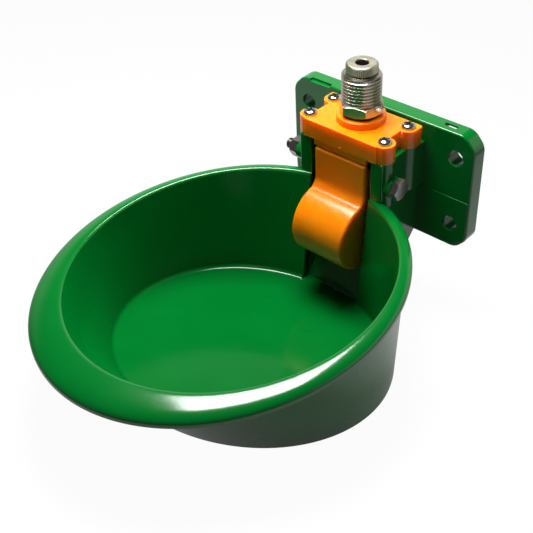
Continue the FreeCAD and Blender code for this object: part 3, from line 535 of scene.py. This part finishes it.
plate = prism(cut_corner_box(PLATE_HALF_X, PLATE_HALF_Z), "Y", -PLATE_THICK, 0)
rounded_off(plate, PLATE_CORNER_ROUND, runs_along(1), 5)
rounded_off(plate, PLATE_ROUND, sharp_before(-PLATE_THICK + NEAR))
core = prism(cut_corner_box(PLATE_HALF_X - PLATE_EDGE, PLATE_HALF_Z - PLATE_EDGE), "Y",
             -PLATE_THICK + PLATE_SKIN, MARGIN)
plate = combined(plate, core, "DIFFERENCE")
bolt_places = [(x, z) for x in (-BOLT_X, BOLT_X) for z in (-BOLT_Z, BOLT_Z)]
rib_outlines = [box(n * RIB_SPACING - RIB / 2, n * RIB_SPACING + RIB / 2, -PLATE_HALF_Z + LAP,
                    PLATE_HALF_Z - LAP) for n in range(-2, 3)]
rib_outlines.append(box(-PLATE_HALF_X + LAP, PLATE_HALF_X - LAP, -RIB / 2, RIB / 2))
rib_outlines += [circle(place, BOLT_BOSS_RADIUS) for place in bolt_places]
for outline in rib_outlines:
    plate = combined(plate, prism(outline, "Y", -PLATE_THICK + LAP, 0), "UNION")
for place in bolt_places:
    plate = combined(plate, bolt_hole(place), "DIFFERENCE")
for (left, right), (front, rear), low, high in (
        (NOTCH_X, (-PLATE_THICK - MARGIN, NOTCH_BACK_Y), PLATE_HALF_Z - NOTCH_DEPTH, PLATE_HALF_Z + MARGIN),
        (SLOT_X, SLOT_Y, PLATE_HALF_Z - 2 * PLATE_EDGE, PLATE_HALF_Z + MARGIN),
        (SLOT_X, (SLOT_Y[0], MARGIN), PLATE_HALF_Z - 2 * PLATE_EDGE, PLATE_HALF_Z - SLOT_SKIN)):
    cut = prism(box(left, right, front, rear), "Z", low, high)
    rounded_off(cut, CUT_ROUND, runs_along(2))
    plate = combined(plate, cut, "DIFFERENCE")

step_half_x = PLATE_HALF_X - PLATE_ROUND
step_corners = cut_corner_box(step_half_x, PLATE_HALF_Z - PLATE_ROUND)
step_outline = sorted([corner for corner in step_corners if corner[1] < 0],
                      key=lambda corner: math.atan2(corner[1], corner[0]))
step_outline += [(step_half_x, STEP_Z), (-step_half_x, STEP_Z)]
plate_step = prism(step_outline, "Y", -PLATE_THICK - STEP_PROUD, -PLATE_THICK + PLATE_SKIN / 2)
rounded_off(plate_step, STEP_PROUD / 2, is_sharp, 2)
for place in bolt_places:
    plate_step = combined(plate_step, bolt_hole(place), "DIFFERENCE")
make_piece("wall_plate_step", plate_step, green, "housing", "green_plastic", "bowl_housing")
make_piece("wall_plate", plate, green, "housing", "green_plastic", "bowl_housing")


# Valve block: the box that rises behind the bowl. The paddle hangs in its niche, its top
# carries the cover, and four columns take the cover screws.
BLOCK_HALF_X = 27.0
BLOCK_FRONT_Y = -42.0
COLUMN_RADIUS = 5.4
COLUMN_FOOT_Z = -2.0
SCREW_X = 24.2
SCREW_FRONT_Y = -36.4
SCREW_BACK_Y = -16.7
PIVOT_Y = -35.5
PIVOT_Z = 9.0
PIVOT_SEAT_X = 31.2
PIVOT_BOSS_RADIUS = 5.6
BLOCK_ROUND = 1.2


def both_sides(inner, outer):
    """The same stretch of X, left and right of the middle."""
    return (-outer, -inner), (inner, outer)


block_foot_z = rim["centre_z"] - LIP_CROWN - LIP_SKIRT
plate_back = -PLATE_THICK + PLATE_SKIN / 2
base_back_z = base["centre_z"] + base["slope"] * base["half_y"]
block_side = [(plate_back, BLOCK_TOP), (BLOCK_FRONT_Y, BLOCK_TOP), (BLOCK_FRONT_Y, block_foot_z),
              (base_back_y - WALL, block_foot_z), (base_back_y - WALL, base_back_z - base["slope"] * WALL),
              (base_back_y, base_back_z), (plate_back, -PLATE_HALF_Z + PLATE_EDGE)]
block = prism(block_side, "X", -BLOCK_HALF_X, BLOCK_HALF_X)
block = combined(block, niche(), "DIFFERENCE")
rounded_off(block, BLOCK_ROUND, is_sharp)
plug = lofted([grown(bowl_floor, WALL / 2, -FLOOR_THICK / 2), grown(rim, WALL / 2, -WALL / 2)])
block = combined(block, plug, "DIFFERENCE")
columns = [prism(circle((x, y), COLUMN_RADIUS), "Z", COLUMN_FOOT_Z, BLOCK_TOP)
           for x in (-SCREW_X, SCREW_X) for y in (SCREW_FRONT_Y, SCREW_BACK_Y)]
columns = combined(together(*columns), niche(), "DIFFERENCE")
webs = together(*[prism(box(left, right, SCREW_BACK_Y, plate_back), "Z", COLUMN_FOOT_Z, BLOCK_TOP)
                  for left, right in both_sides(BLOCK_HALF_X, SCREW_X + COLUMN_RADIUS)])
seats = together(*[prism(circle((PIVOT_Y, PIVOT_Z), PIVOT_BOSS_RADIUS), "X", left, right)
                   for left, right in both_sides(NICHE_HALF_X + LAP, PIVOT_SEAT_X)])
make_piece("valve_block", together(block, columns, webs, seats), green, "housing", "green_plastic",
           "bowl_housing")


# Cover: an orange moulding over the block with four ears and a raised ring for the valve.
# Four screws hold it down. Its front face stands a little proud of the front ears, and
# the stub where the plastic entered the mould is left at the middle of its foot.
COVER_TOP = BLOCK_TOP + COVER_THICK
COVER_SKIN = 3.6
COVER_HALF_X = 23.3
COVER_FRONT_Y = -42.5
COVER_PLATE_GAP = 2.2
COVER_WALL = 2.8
COVER_ROUND = 0.7
EAR_RADIUS = 5.4
NOTCH_FILLET = 1.5
RING_RADIUS = 12.9
RING_HEIGHT = 3.8
RING_TOP = COVER_TOP + RING_HEIGHT
SKIRT_HALF_X = 17.0
SKIRT_DROP = 3.4
SKIRT_STEP = 0.5
VALVE_Y = -24.5
SHANK_RADIUS = 8.0
GATE_STUB = (0.5, COVER_FRONT_Y, 24.1)
GATE_STUB_RADIUS = 0.7


def arc(centre, radius, start, end, steps=14):
    turns = [math.radians(start + (end - start) * i / steps) for i in range(steps + 1)]
    return [(centre[0] + radius * math.cos(turn), centre[1] + radius * math.sin(turn)) for turn in turns]


cover_back_y = -PLATE_THICK - COVER_PLATE_GAP
ear_turn = math.degrees(math.acos((COVER_HALF_X - SCREW_X) / EAR_RADIUS))
right_side = [(COVER_HALF_X, COVER_FRONT_Y)]
right_side += arc((SCREW_X, SCREW_FRONT_Y), EAR_RADIUS, -ear_turn, ear_turn)
right_side += arc((SCREW_X, SCREW_BACK_Y), EAR_RADIUS, -ear_turn, 0)
right_side += [(SCREW_X + EAR_RADIUS, cover_back_y)]
cover_outline = right_side + [(-x, y) for x, y in reversed(right_side)]


def is_upright(edge):
    return runs_along(2)(edge) and is_sharp(edge)


def between_ears(edge):
    return is_upright(edge) and SCREW_FRONT_Y < edge.verts[0].co.y < SCREW_BACK_Y


def at_cover_back(edge):
    return is_upright(edge) and edge.verts[0].co.y > cover_back_y - 1


def sharp_at(height):
    """Test for sharp edges that lie at a height."""
    return lambda edge: all(abs(vert.co.z - height) < NEAR for vert in edge.verts) and is_sharp(edge)


cover = prism(cover_outline, "Z", BLOCK_TOP, COVER_TOP)
rounded_off(cover, NOTCH_FILLET, between_ears, 5)
rounded_off(cover, NOTCH_FILLET, at_cover_back, 5)
rounded_off(cover, COVER_ROUND, sharp_at(COVER_TOP), 4)
hollow = prism(box(-NICHE_HALF_X, NICHE_HALF_X, COVER_FRONT_Y + COVER_WALL, cover_back_y - COVER_WALL), "Z",
               BLOCK_TOP - MARGIN, COVER_TOP - COVER_SKIN)
cover = combined(cover, hollow, "DIFFERENCE")
ring = prism(circle((0, VALVE_Y), RING_RADIUS, 96), "Z", COVER_TOP - COVER_SKIN / 2, RING_TOP)
rounded_off(ring, COVER_ROUND, sharp_at(RING_TOP), 4)
cover = combined(cover, ring, "UNION")
skirt = prism(box(-SKIRT_HALF_X, SKIRT_HALF_X, BLOCK_TOP - SKIRT_DROP, COVER_TOP - COVER_SKIN), "Y",
              COVER_FRONT_Y + SKIRT_STEP, COVER_FRONT_Y + COVER_WALL)
cover = combined(cover, skirt, "UNION")
valve_hole = prism(circle((0, VALVE_Y), SHANK_RADIUS, 64), "Z", BLOCK_TOP, RING_TOP + MARGIN)
cover = combined(cover, valve_hole, "DIFFERENCE")
stub = bmesh.new()
bmesh.ops.create_uvsphere(stub, u_segments=16, v_segments=10, radius=GATE_STUB_RADIUS,
                          matrix=Matrix.Translation(GATE_STUB))
orange = moulded_plastic("orange_moulded_polypropylene", "#FF8800", "#FE7C00", 0.24, 0.8)
make_piece("cover", together(cover, stub), orange, "housing", "orange_plastic", "cover_plate")


# Paddle: an orange moulding that the animal pushes. A flat plate hangs from the pivot bolt
# and ends in a half-drum nose, hollow behind. A heel behind the hub lifts the valve stem.
PADDLE_HALF_X = 16.8
PADDLE_FRONT_Y = -42.5
PADDLE_TOP = 18.8
PADDLE_WALL = 2.6
PADDLE_ROUND = 1.5
NOSE_RADIUS = 19.7
NOSE_CENTRE = (-43.0, -24.0)
NOSE_FILLET = 6.0
CHEEK_LAP = 0.3
HUB_RADIUS = 5.8
HUB_INSET = 0.1
HEEL_BACK_Y = -20.5
HEEL_HALF_X = 5.0
HEEL_THICK = 4.0
HEEL_Z = 13.7
SLEEVE_RADIUS = 3.8
paddle_back_y = PADDLE_FRONT_Y + PADDLE_WALL
fillet_y = PADDLE_FRONT_Y - NOSE_FILLET
fillet_turn = math.degrees(math.asin((NOSE_CENTRE[0] - fillet_y) / (NOSE_RADIUS + NOSE_FILLET)))
fillet_z = NOSE_CENTRE[1] + (NOSE_RADIUS + NOSE_FILLET) * math.cos(math.radians(fillet_turn))
cut_turn = 360 - math.degrees(math.acos((paddle_back_y - NOSE_CENTRE[0]) / NOSE_RADIUS))
paddle_side = [(paddle_back_y, PADDLE_TOP), (PADDLE_FRONT_Y, PADDLE_TOP)]
paddle_side += arc((fillet_y, fillet_z), NOSE_FILLET, 0, fillet_turn - 90, 10)
paddle_side += arc(NOSE_CENTRE, NOSE_RADIUS, fillet_turn + 90, cut_turn, 64)[1:]
paddle = prism(paddle_side, "X", -PADDLE_HALF_X, PADDLE_HALF_X)
rounded_off(paddle, PADDLE_ROUND, sharp_before(paddle_back_y - NEAR), 4)
inner_x = PADDLE_HALF_X - PADDLE_WALL
drum_hollow = prism(circle(NOSE_CENTRE, NOSE_RADIUS - PADDLE_WALL, 64), "X", -inner_x, inner_x)
paddle = combined(paddle, drum_hollow, "DIFFERENCE")

lap_y = paddle_back_y - CHEEK_LAP
nose_top = NOSE_CENTRE[1] + NOSE_RADIUS - PADDLE_WALL
cheek_side = [(lap_y, PADDLE_TOP - PADDLE_WALL), (PIVOT_Y, PIVOT_Z + HUB_RADIUS),
              (PIVOT_Y + HUB_RADIUS, PIVOT_Z), (paddle_back_y, nose_top), (lap_y, nose_top)]
cheeks = [prism(cheek_side, "X", left, right) for left, right in both_sides(inner_x, PADDLE_HALF_X)]
hub = prism(circle((PIVOT_Y, PIVOT_Z), HUB_RADIUS), "X", -PADDLE_HALF_X + HUB_INSET,
            PADDLE_HALF_X - HUB_INSET)
heel = prism([(PIVOT_Y, HEEL_Z), (HEEL_BACK_Y, HEEL_Z), (HEEL_BACK_Y, HEEL_Z - HEEL_THICK),
              (PIVOT_Y, PIVOT_Z - HUB_RADIUS / 2)], "X", -HEEL_HALF_X, HEEL_HALF_X)
hub_bore = prism(circle((PIVOT_Y, PIVOT_Z), SLEEVE_RADIUS), "X", -PADDLE_HALF_X - MARGIN,
                 PADDLE_HALF_X + MARGIN)
carrier = combined(together(*cheeks, hub, heel), hub_bore, "DIFFERENCE")
make_piece("push_paddle_moulding", together(paddle, carrier), orange, "push_paddle", "orange_plastic",
           "paddle")


# Cover screws: stainless steel pan heads with a cross recess, pressed cold and polished.
# Each was driven home by hand, so every cross stands at its own angle.
HEAD_RADIUS = 3.65
HEAD_HEIGHT = 2.3
HEAD_EDGE = 0.5
HEAD_CHAMFER = 0.3
HEAD_FLATNESS = 0.8
SCREW_RADIUS = 2.0
SCREW_LENGTH = 20.0
CROSS_HALF = 2.5
CROSS_WIDTH = 1.3
CROSS_DEPTH = 1.9
SCREWS = {"front_left": (-SCREW_X, SCREW_FRONT_Y, 20), "front_right": (SCREW_X, SCREW_FRONT_Y, 65),
          "back_left": (-SCREW_X, SCREW_BACK_Y, 50), "back_right": (SCREW_X, SCREW_BACK_Y, 8)}


def turned(profile, steps, closed=False):
    """Body turned about Z from a profile of (radius, height)."""
    shape = bmesh.new()
    verts = [shape.verts.new((radius, 0, height)) for radius, height in profile]
    edges = [shape.edges.new(pair) for pair in zip(verts, verts[1:] + verts[:1] if closed else verts[1:])]
    bmesh.ops.spin(shape, geom=verts + edges, cent=(0, 0, 0), axis=(0, 0, 1), angle=2 * math.pi, steps=steps,
                   use_merge=True)
    bmesh.ops.remove_doubles(shape, verts=shape.verts[:], dist=0.002)
    bmesh.ops.recalc_face_normals(shape, faces=shape.faces[:])
    return shape


# Bright turned or pressed metal. Fine tool lines run round it and stretch its reflections,
# and a cloudy film, as from handling, dulls them in patches.
def bright_metal(name, tint, roughness, line_mm):
    FILM_MM = 4
    LINE_HEIGHT_MM = 0.01
    GLOSS_SPREAD = (0.7, 1.4)
    material = bpy.data.materials.new(name)
    material.use_nodes = True
    tree = material.node_tree
    tree.nodes.clear()
    where = add_node(tree, "ShaderNodeTexCoord").outputs["Object"]
    film = add_node(tree, "ShaderNodeTexNoise",
                    {"Vector": where, "Scale": 1 / (FILM_MM * MM), "Detail": 4.0})
    gloss = add_node(tree, "ShaderNodeMapRange",
                     {"Value": film.outputs["Fac"], "To Min": roughness * GLOSS_SPREAD[0],
                      "To Max": roughness * GLOSS_SPREAD[1]})
    # The wave repeats every pi times line_mm. Real tool lines are finer, and wouldn't show.
    lines = add_node(tree, "ShaderNodeTexWave",
                     {"Vector": where, "Scale": 1 / (line_mm * MM) / 10, "Distortion": 0.6},
                     bands_direction="Z")
    scratched = add_node(tree, "ShaderNodeBump",
                         {"Height": lines.outputs["Fac"], "Distance": LINE_HEIGHT_MM * MM, "Strength": 0.25})
    body = add_node(tree, "ShaderNodeBsdfPrincipled",
                    {"Base Color": linear(tint), "Metallic": 1.0, "Roughness": gloss.outputs[0],
                     "Normal": scratched.outputs[0]})
    add_node(tree, "ShaderNodeOutputMaterial", {"Surface": body.outputs[0]})
    return material


steel = bright_metal("stainless_steel", "#B4B4B2", 0.2, 0.4)
head_profile = [(0, HEAD_HEIGHT)]
for degrees in range(10, 91, 8):
    slant = math.radians(degrees)
    head_profile.append((HEAD_RADIUS * math.sin(slant) ** HEAD_FLATNESS,
                         HEAD_EDGE + (HEAD_HEIGHT - HEAD_EDGE) * math.cos(slant)))
head_profile += [(HEAD_RADIUS, HEAD_CHAMFER), (HEAD_RADIUS - HEAD_CHAMFER, 0), (SCREW_RADIUS, 0),
                 (SCREW_RADIUS, SCREW_RADIUS - SCREW_LENGTH), (0, -SCREW_LENGTH)]
for name, (x, y, turn) in SCREWS.items():
    screw = turned(head_profile, 64)
    for half_x, half_y in ((CROSS_HALF, CROSS_WIDTH / 2), (CROSS_WIDTH / 2, CROSS_HALF)):
        recess = prism(box(-half_x, half_x, -half_y, half_y), "Z", HEAD_HEIGHT - CROSS_DEPTH,
                       HEAD_HEIGHT + MARGIN)
        screw = combined(screw, recess, "DIFFERENCE")
    placed(screw, (x, y, COVER_TOP), Matrix.Rotation(math.radians(turn), 4, "Z"))
    make_piece("screw_" + name, screw, steel, "housing", "stainless_steel", "cover_screw_" + name)


# Pivot bolt and nut: M6 stainless steel. The bolt runs through both walls of the block and
# the paddle's hub, its head on the right. A few turns of thread stand out of the nut. Their
# steel is duller than the screws', and its darker tint is painted shade for the dark room it
# mirrors.
PIVOT_RADIUS = 3.0
HEX_FLATS = 10.0
BOLT_HEAD = 4.0
NUT_HEIGHT = 5.0
THREAD_REST = 4.5
M6_PITCH = 1.0
M6_ROOT = 2.45
M6_LEAD = 0.7
CHAMFER_FACE = 0.97
CHAMFER_DEPTH = 1.3


def rod(radius, low, high, steps):
    return turned([(0, high), (radius, high), (radius, low), (0, low)], steps)


def hex_blank(flats, low, high, turn, both=True):
    """Hexagon between two heights, its corners turned off to a cone of 30 degrees."""
    corner = flats / 2 / math.cos(math.radians(30))
    outside = corner + 0.1
    drop = (corner - flats / 2) * math.tan(math.radians(30)) * CHAMFER_DEPTH
    face = flats / 2 * CHAMFER_FACE
    foot = [(outside, low + drop), (face, low)] if both else [(outside, low)]
    cone = turned([(0, high), (face, high), (outside, high - drop)] + foot + [(0, low)], 72)
    hexagon = arc((0, 0), corner, turn, turn + 300, 5)
    return combined(prism(hexagon, "Z", low, high), cone, "INTERSECT")


def threaded(root, crest, pitch, low, high, lead):
    """Outside of a thread: one pitch of its profile swept along a helix, and cut off level at
    both ends. The crest falls away over the lead at the top."""
    steps = 48
    turns = math.ceil((high - low) / pitch) + 1
    profile = [(root, 0), (root, 0.12), (crest, 0.42), (crest, 0.58), (root, 0.88), (root, 1)]
    shape = bmesh.new()
    verts = [shape.verts.new((radius, 0, low + (share - 1) * pitch)) for radius, share in profile]
    edges = [shape.edges.new(pair) for pair in zip(verts, verts[1:])]
    bmesh.ops.spin(shape, geom=verts + edges, cent=(0, 0, 0), axis=(0, 0, 1), dvec=(0, 0, pitch / steps),
                   angle=2 * math.pi * turns, steps=steps * turns)
    bmesh.ops.remove_doubles(shape, verts=shape.verts[:], dist=0.005)
    for height, side in ((low, -1), (high, 1)):
        bmesh.ops.bisect_plane(shape, geom=shape.verts[:] + shape.edges[:] + shape.faces[:],
                               plane_co=(0, 0, height), plane_no=(0, 0, side), clear_outer=True)
    for vert in shape.verts:
        limit = crest - max(0, vert.co.z - (high - lead))
        reach = math.hypot(vert.co.x, vert.co.y)
        if reach > limit:
            vert.co.x *= limit / reach
            vert.co.y *= limit / reach
    bmesh.ops.holes_fill(shape, edges=[edge for edge in shape.edges if edge.is_boundary], sides=0)
    bmesh.ops.recalc_face_normals(shape, faces=shape.faces[:])
    return shape


towards_right = Matrix.Rotation(math.radians(90), 4, "Y")
pivot_end = -PIVOT_SEAT_X - NUT_HEIGHT - THREAD_REST
bolt_head = hex_blank(HEX_FLATS, PIVOT_SEAT_X, PIVOT_SEAT_X + BOLT_HEAD, 30, False)
bolt_shank = rod(PIVOT_RADIUS, -PIVOT_SEAT_X, PIVOT_SEAT_X + LAP, 48)
bolt_thread = threaded(M6_ROOT, PIVOT_RADIUS, M6_PITCH, 0, NUT_HEIGHT + THREAD_REST, M6_LEAD)
placed(bolt_thread, (0, 0, -PIVOT_SEAT_X), Matrix.Rotation(math.pi, 4, "X"))
bolt = placed(together(bolt_head, bolt_shank, bolt_thread), (0, PIVOT_Y, PIVOT_Z), towards_right)
# The same stainless steel as the screws, with its tint drawn darker: painted shade, not a different steel.
pivot_steel_painted_shade = bright_metal("pivot_steel_with_painted_shade", "#8E8C86", 0.3, 0.4)
make_piece("hexagon_bolt", bolt, pivot_steel_painted_shade, "housing", "stainless_steel", "pivot_bolt")

nut = hex_blank(HEX_FLATS, -PIVOT_SEAT_X - NUT_HEIGHT, -PIVOT_SEAT_X, 30)
nut = combined(nut, rod(PIVOT_RADIUS, 2 * pivot_end, 0, 48), "DIFFERENCE")
placed(nut, (0, PIVOT_Y, PIVOT_Z), towards_right)
make_piece("hexagon_nut", nut, pivot_steel_painted_shade, "housing", "stainless_steel", "pivot_nut")


# Water valve: brass turned from hexagon bar, threaded half-inch outside and nickel-plated.
# It stands on the cover's ring on a thin seal and is held by a nut from below.
THREAD_RADIUS = 10.4
THREAD_ROOT = 9.35
THREAD_LENGTH = 15.5
THREAD_PITCH = 1.814
THREAD_LEAD = 1.3
THREAD_SUNK = 0.3
VALVE_FLATS = 21.0
VALVE_HEX_HEIGHT = 6.0
VALVE_TURN = 18
GASKET_HEIGHT = 1.3
SHANK_DROP = 16.9
SHANK_PLAY = 0.05
hex_foot = RING_TOP + GASKET_HEIGHT
hex_top = hex_foot + VALVE_HEX_HEIGHT
thread_top = hex_top + THREAD_LENGTH
nickel = bright_metal("nickel_plated_brass", "#B8B2A2", 0.22, 0.5)
valve_hexagon = hex_blank(VALVE_FLATS, hex_foot, hex_top, VALVE_TURN)
inlet_thread = threaded(THREAD_ROOT, THREAD_RADIUS, THREAD_PITCH, hex_top - THREAD_SUNK, thread_top,
                        THREAD_LEAD)
valve_shank = rod(SHANK_RADIUS - SHANK_PLAY, RING_TOP - SHANK_DROP, hex_foot + LAP, 64)
valve = placed(together(valve_hexagon, inlet_thread, valve_shank), (0, VALVE_Y, 0))
make_piece("inlet_valve", valve, nickel, "housing", "nickel_brass", "valve_body")


# Inlet cap: a turned ring with a hole, knurled round its edge in ridges a millimetre apart.
# It is screwed into the valve's mouth over the strainer. Its plating is duller than the
# valve's and a little yellow.
CAP_RADIUS = 8.25
CAP_HEIGHT = 5.0
CAP_HOLE = 3.5
CAP_SOCKET = 6.0
CAP_SOCKET_RADIUS = 6.9
CAP_ROUND = 0.8
CAP_CHAMFER = 0.4
HOLE_CHAMFER = 0.3
KNURL_DEPTH = 0.4
KNURL_RIDGES = 52
band_low = CAP_CHAMFER
band_high = CAP_HEIGHT - CAP_ROUND
band_radius = CAP_RADIUS - KNURL_DEPTH
cap_profile = [(CAP_HOLE, -CAP_SOCKET), (CAP_SOCKET_RADIUS, -CAP_SOCKET), (CAP_SOCKET_RADIUS, 0),
               (band_radius - CAP_CHAMFER, 0), (band_radius, band_low), (band_radius, band_high)]
cap_profile += [(band_radius - CAP_ROUND * (1 - math.cos(math.radians(t))),
                 band_high + CAP_ROUND * math.sin(math.radians(t))) for t in (20, 45, 70, 90)]
cap_profile += [(CAP_HOLE + HOLE_CHAMFER, CAP_HEIGHT), (CAP_HOLE, CAP_HEIGHT - HOLE_CHAMFER)]
cap = turned(cap_profile, 2 * KNURL_RIDGES, closed=True)
for vert in cap.verts:
    place_round = round(math.atan2(vert.co.y, vert.co.x) / math.pi * KNURL_RIDGES)
    on_band = band_low - NEAR < vert.co.z < band_high + NEAR and vert.co.xy.length > band_radius - NEAR
    if on_band and place_round % 2:
        vert.co.xy *= CAP_RADIUS / band_radius
placed(cap, (0, VALVE_Y, thread_top))
dull_nickel = bright_metal("dull_nickel_plating", "#B6B29E", 0.36, 0.3)
make_piece("knurled_cap", cap, dull_nickel, "housing", "nickel_brass", "inlet_cap")


# Inner pieces: strainer, seals, nut, stem, clip, spring and the sleeve round the pivot bolt
# keep their CAD shape, as hardly anything of them shows. The strainer gets a near-black neck
# that lines the cap's hole: painted shade, so that the hole reads black.
NECK_INNER = CAP_HOLE - 0.2
NECK_OUTER = CAP_HOLE + 0.1
NECK_TOP = CAP_HEIGHT - 0.9


# Rubber and acetal from a matt tool. The grain scatters the light, so they look dull and show
# no clear shapes. It is drawn coarser than the tool's, which would be too fine to show.
def plain_polymer(name, tint, roughness, grain_mm):
    GRAIN_HEIGHT_MM = 0.02
    GLOSS_SPREAD = (0.85, 1.15)
    material = bpy.data.materials.new(name)
    material.use_nodes = True
    tree = material.node_tree
    tree.nodes.clear()
    where = add_node(tree, "ShaderNodeTexCoord").outputs["Object"]
    grain = add_node(tree, "ShaderNodeTexNoise",
                     {"Vector": where, "Scale": 1 / (grain_mm * MM), "Detail": 3.0})
    gloss = add_node(tree, "ShaderNodeMapRange",
                     {"Value": grain.outputs["Fac"], "To Min": roughness * GLOSS_SPREAD[0],
                      "To Max": roughness * GLOSS_SPREAD[1]})
    rough = add_node(tree, "ShaderNodeBump",
                     {"Height": grain.outputs["Fac"], "Distance": GRAIN_HEIGHT_MM * MM, "Strength": 0.5})
    body = add_node(tree, "ShaderNodeBsdfPrincipled",
                    {"Base Color": linear(tint), "Roughness": gloss.outputs[0], "Normal": rough.outputs[0]})
    add_node(tree, "ShaderNodeOutputMaterial", {"Surface": body.outputs[0]})
    return material


rubber = plain_polymer("nitrile_rubber", "#1A1A1B", 0.6, 0.4)
# The strainer's near-black tint is painted shade, so that the hole in the cap reads black.
strainer_plastic = plain_polymer("strainer_acetal_painted_shade", "#121214", 0.45, 0.6)
# The neck: a near-black tube inside the cap's hole, painted shade where the hole is dark.
neck = turned([(NECK_INNER, -LAP), (NECK_OUTER, -LAP), (NECK_OUTER, NECK_TOP), (NECK_INNER, NECK_TOP)], 48,
              closed=True)
placed(neck, (0, VALVE_Y, thread_top))
make_piece("strainer_neck_painted_shade", neck, strainer_plastic, "housing", "strainer_plastic")
INNER_PIECES = {nickel: ("valve_lock_nut", "valve_stem"), rubber: ("valve_gasket", "stem_seal"),
                steel: ("pivot_sleeve", "seal_clip", "valve_spring"), strainer_plastic: ("inlet_filter",)}
for material, names in INNER_PIECES.items():
    for name in names:
        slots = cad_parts[name].data.materials
        slots.clear()
        slots.append(material)
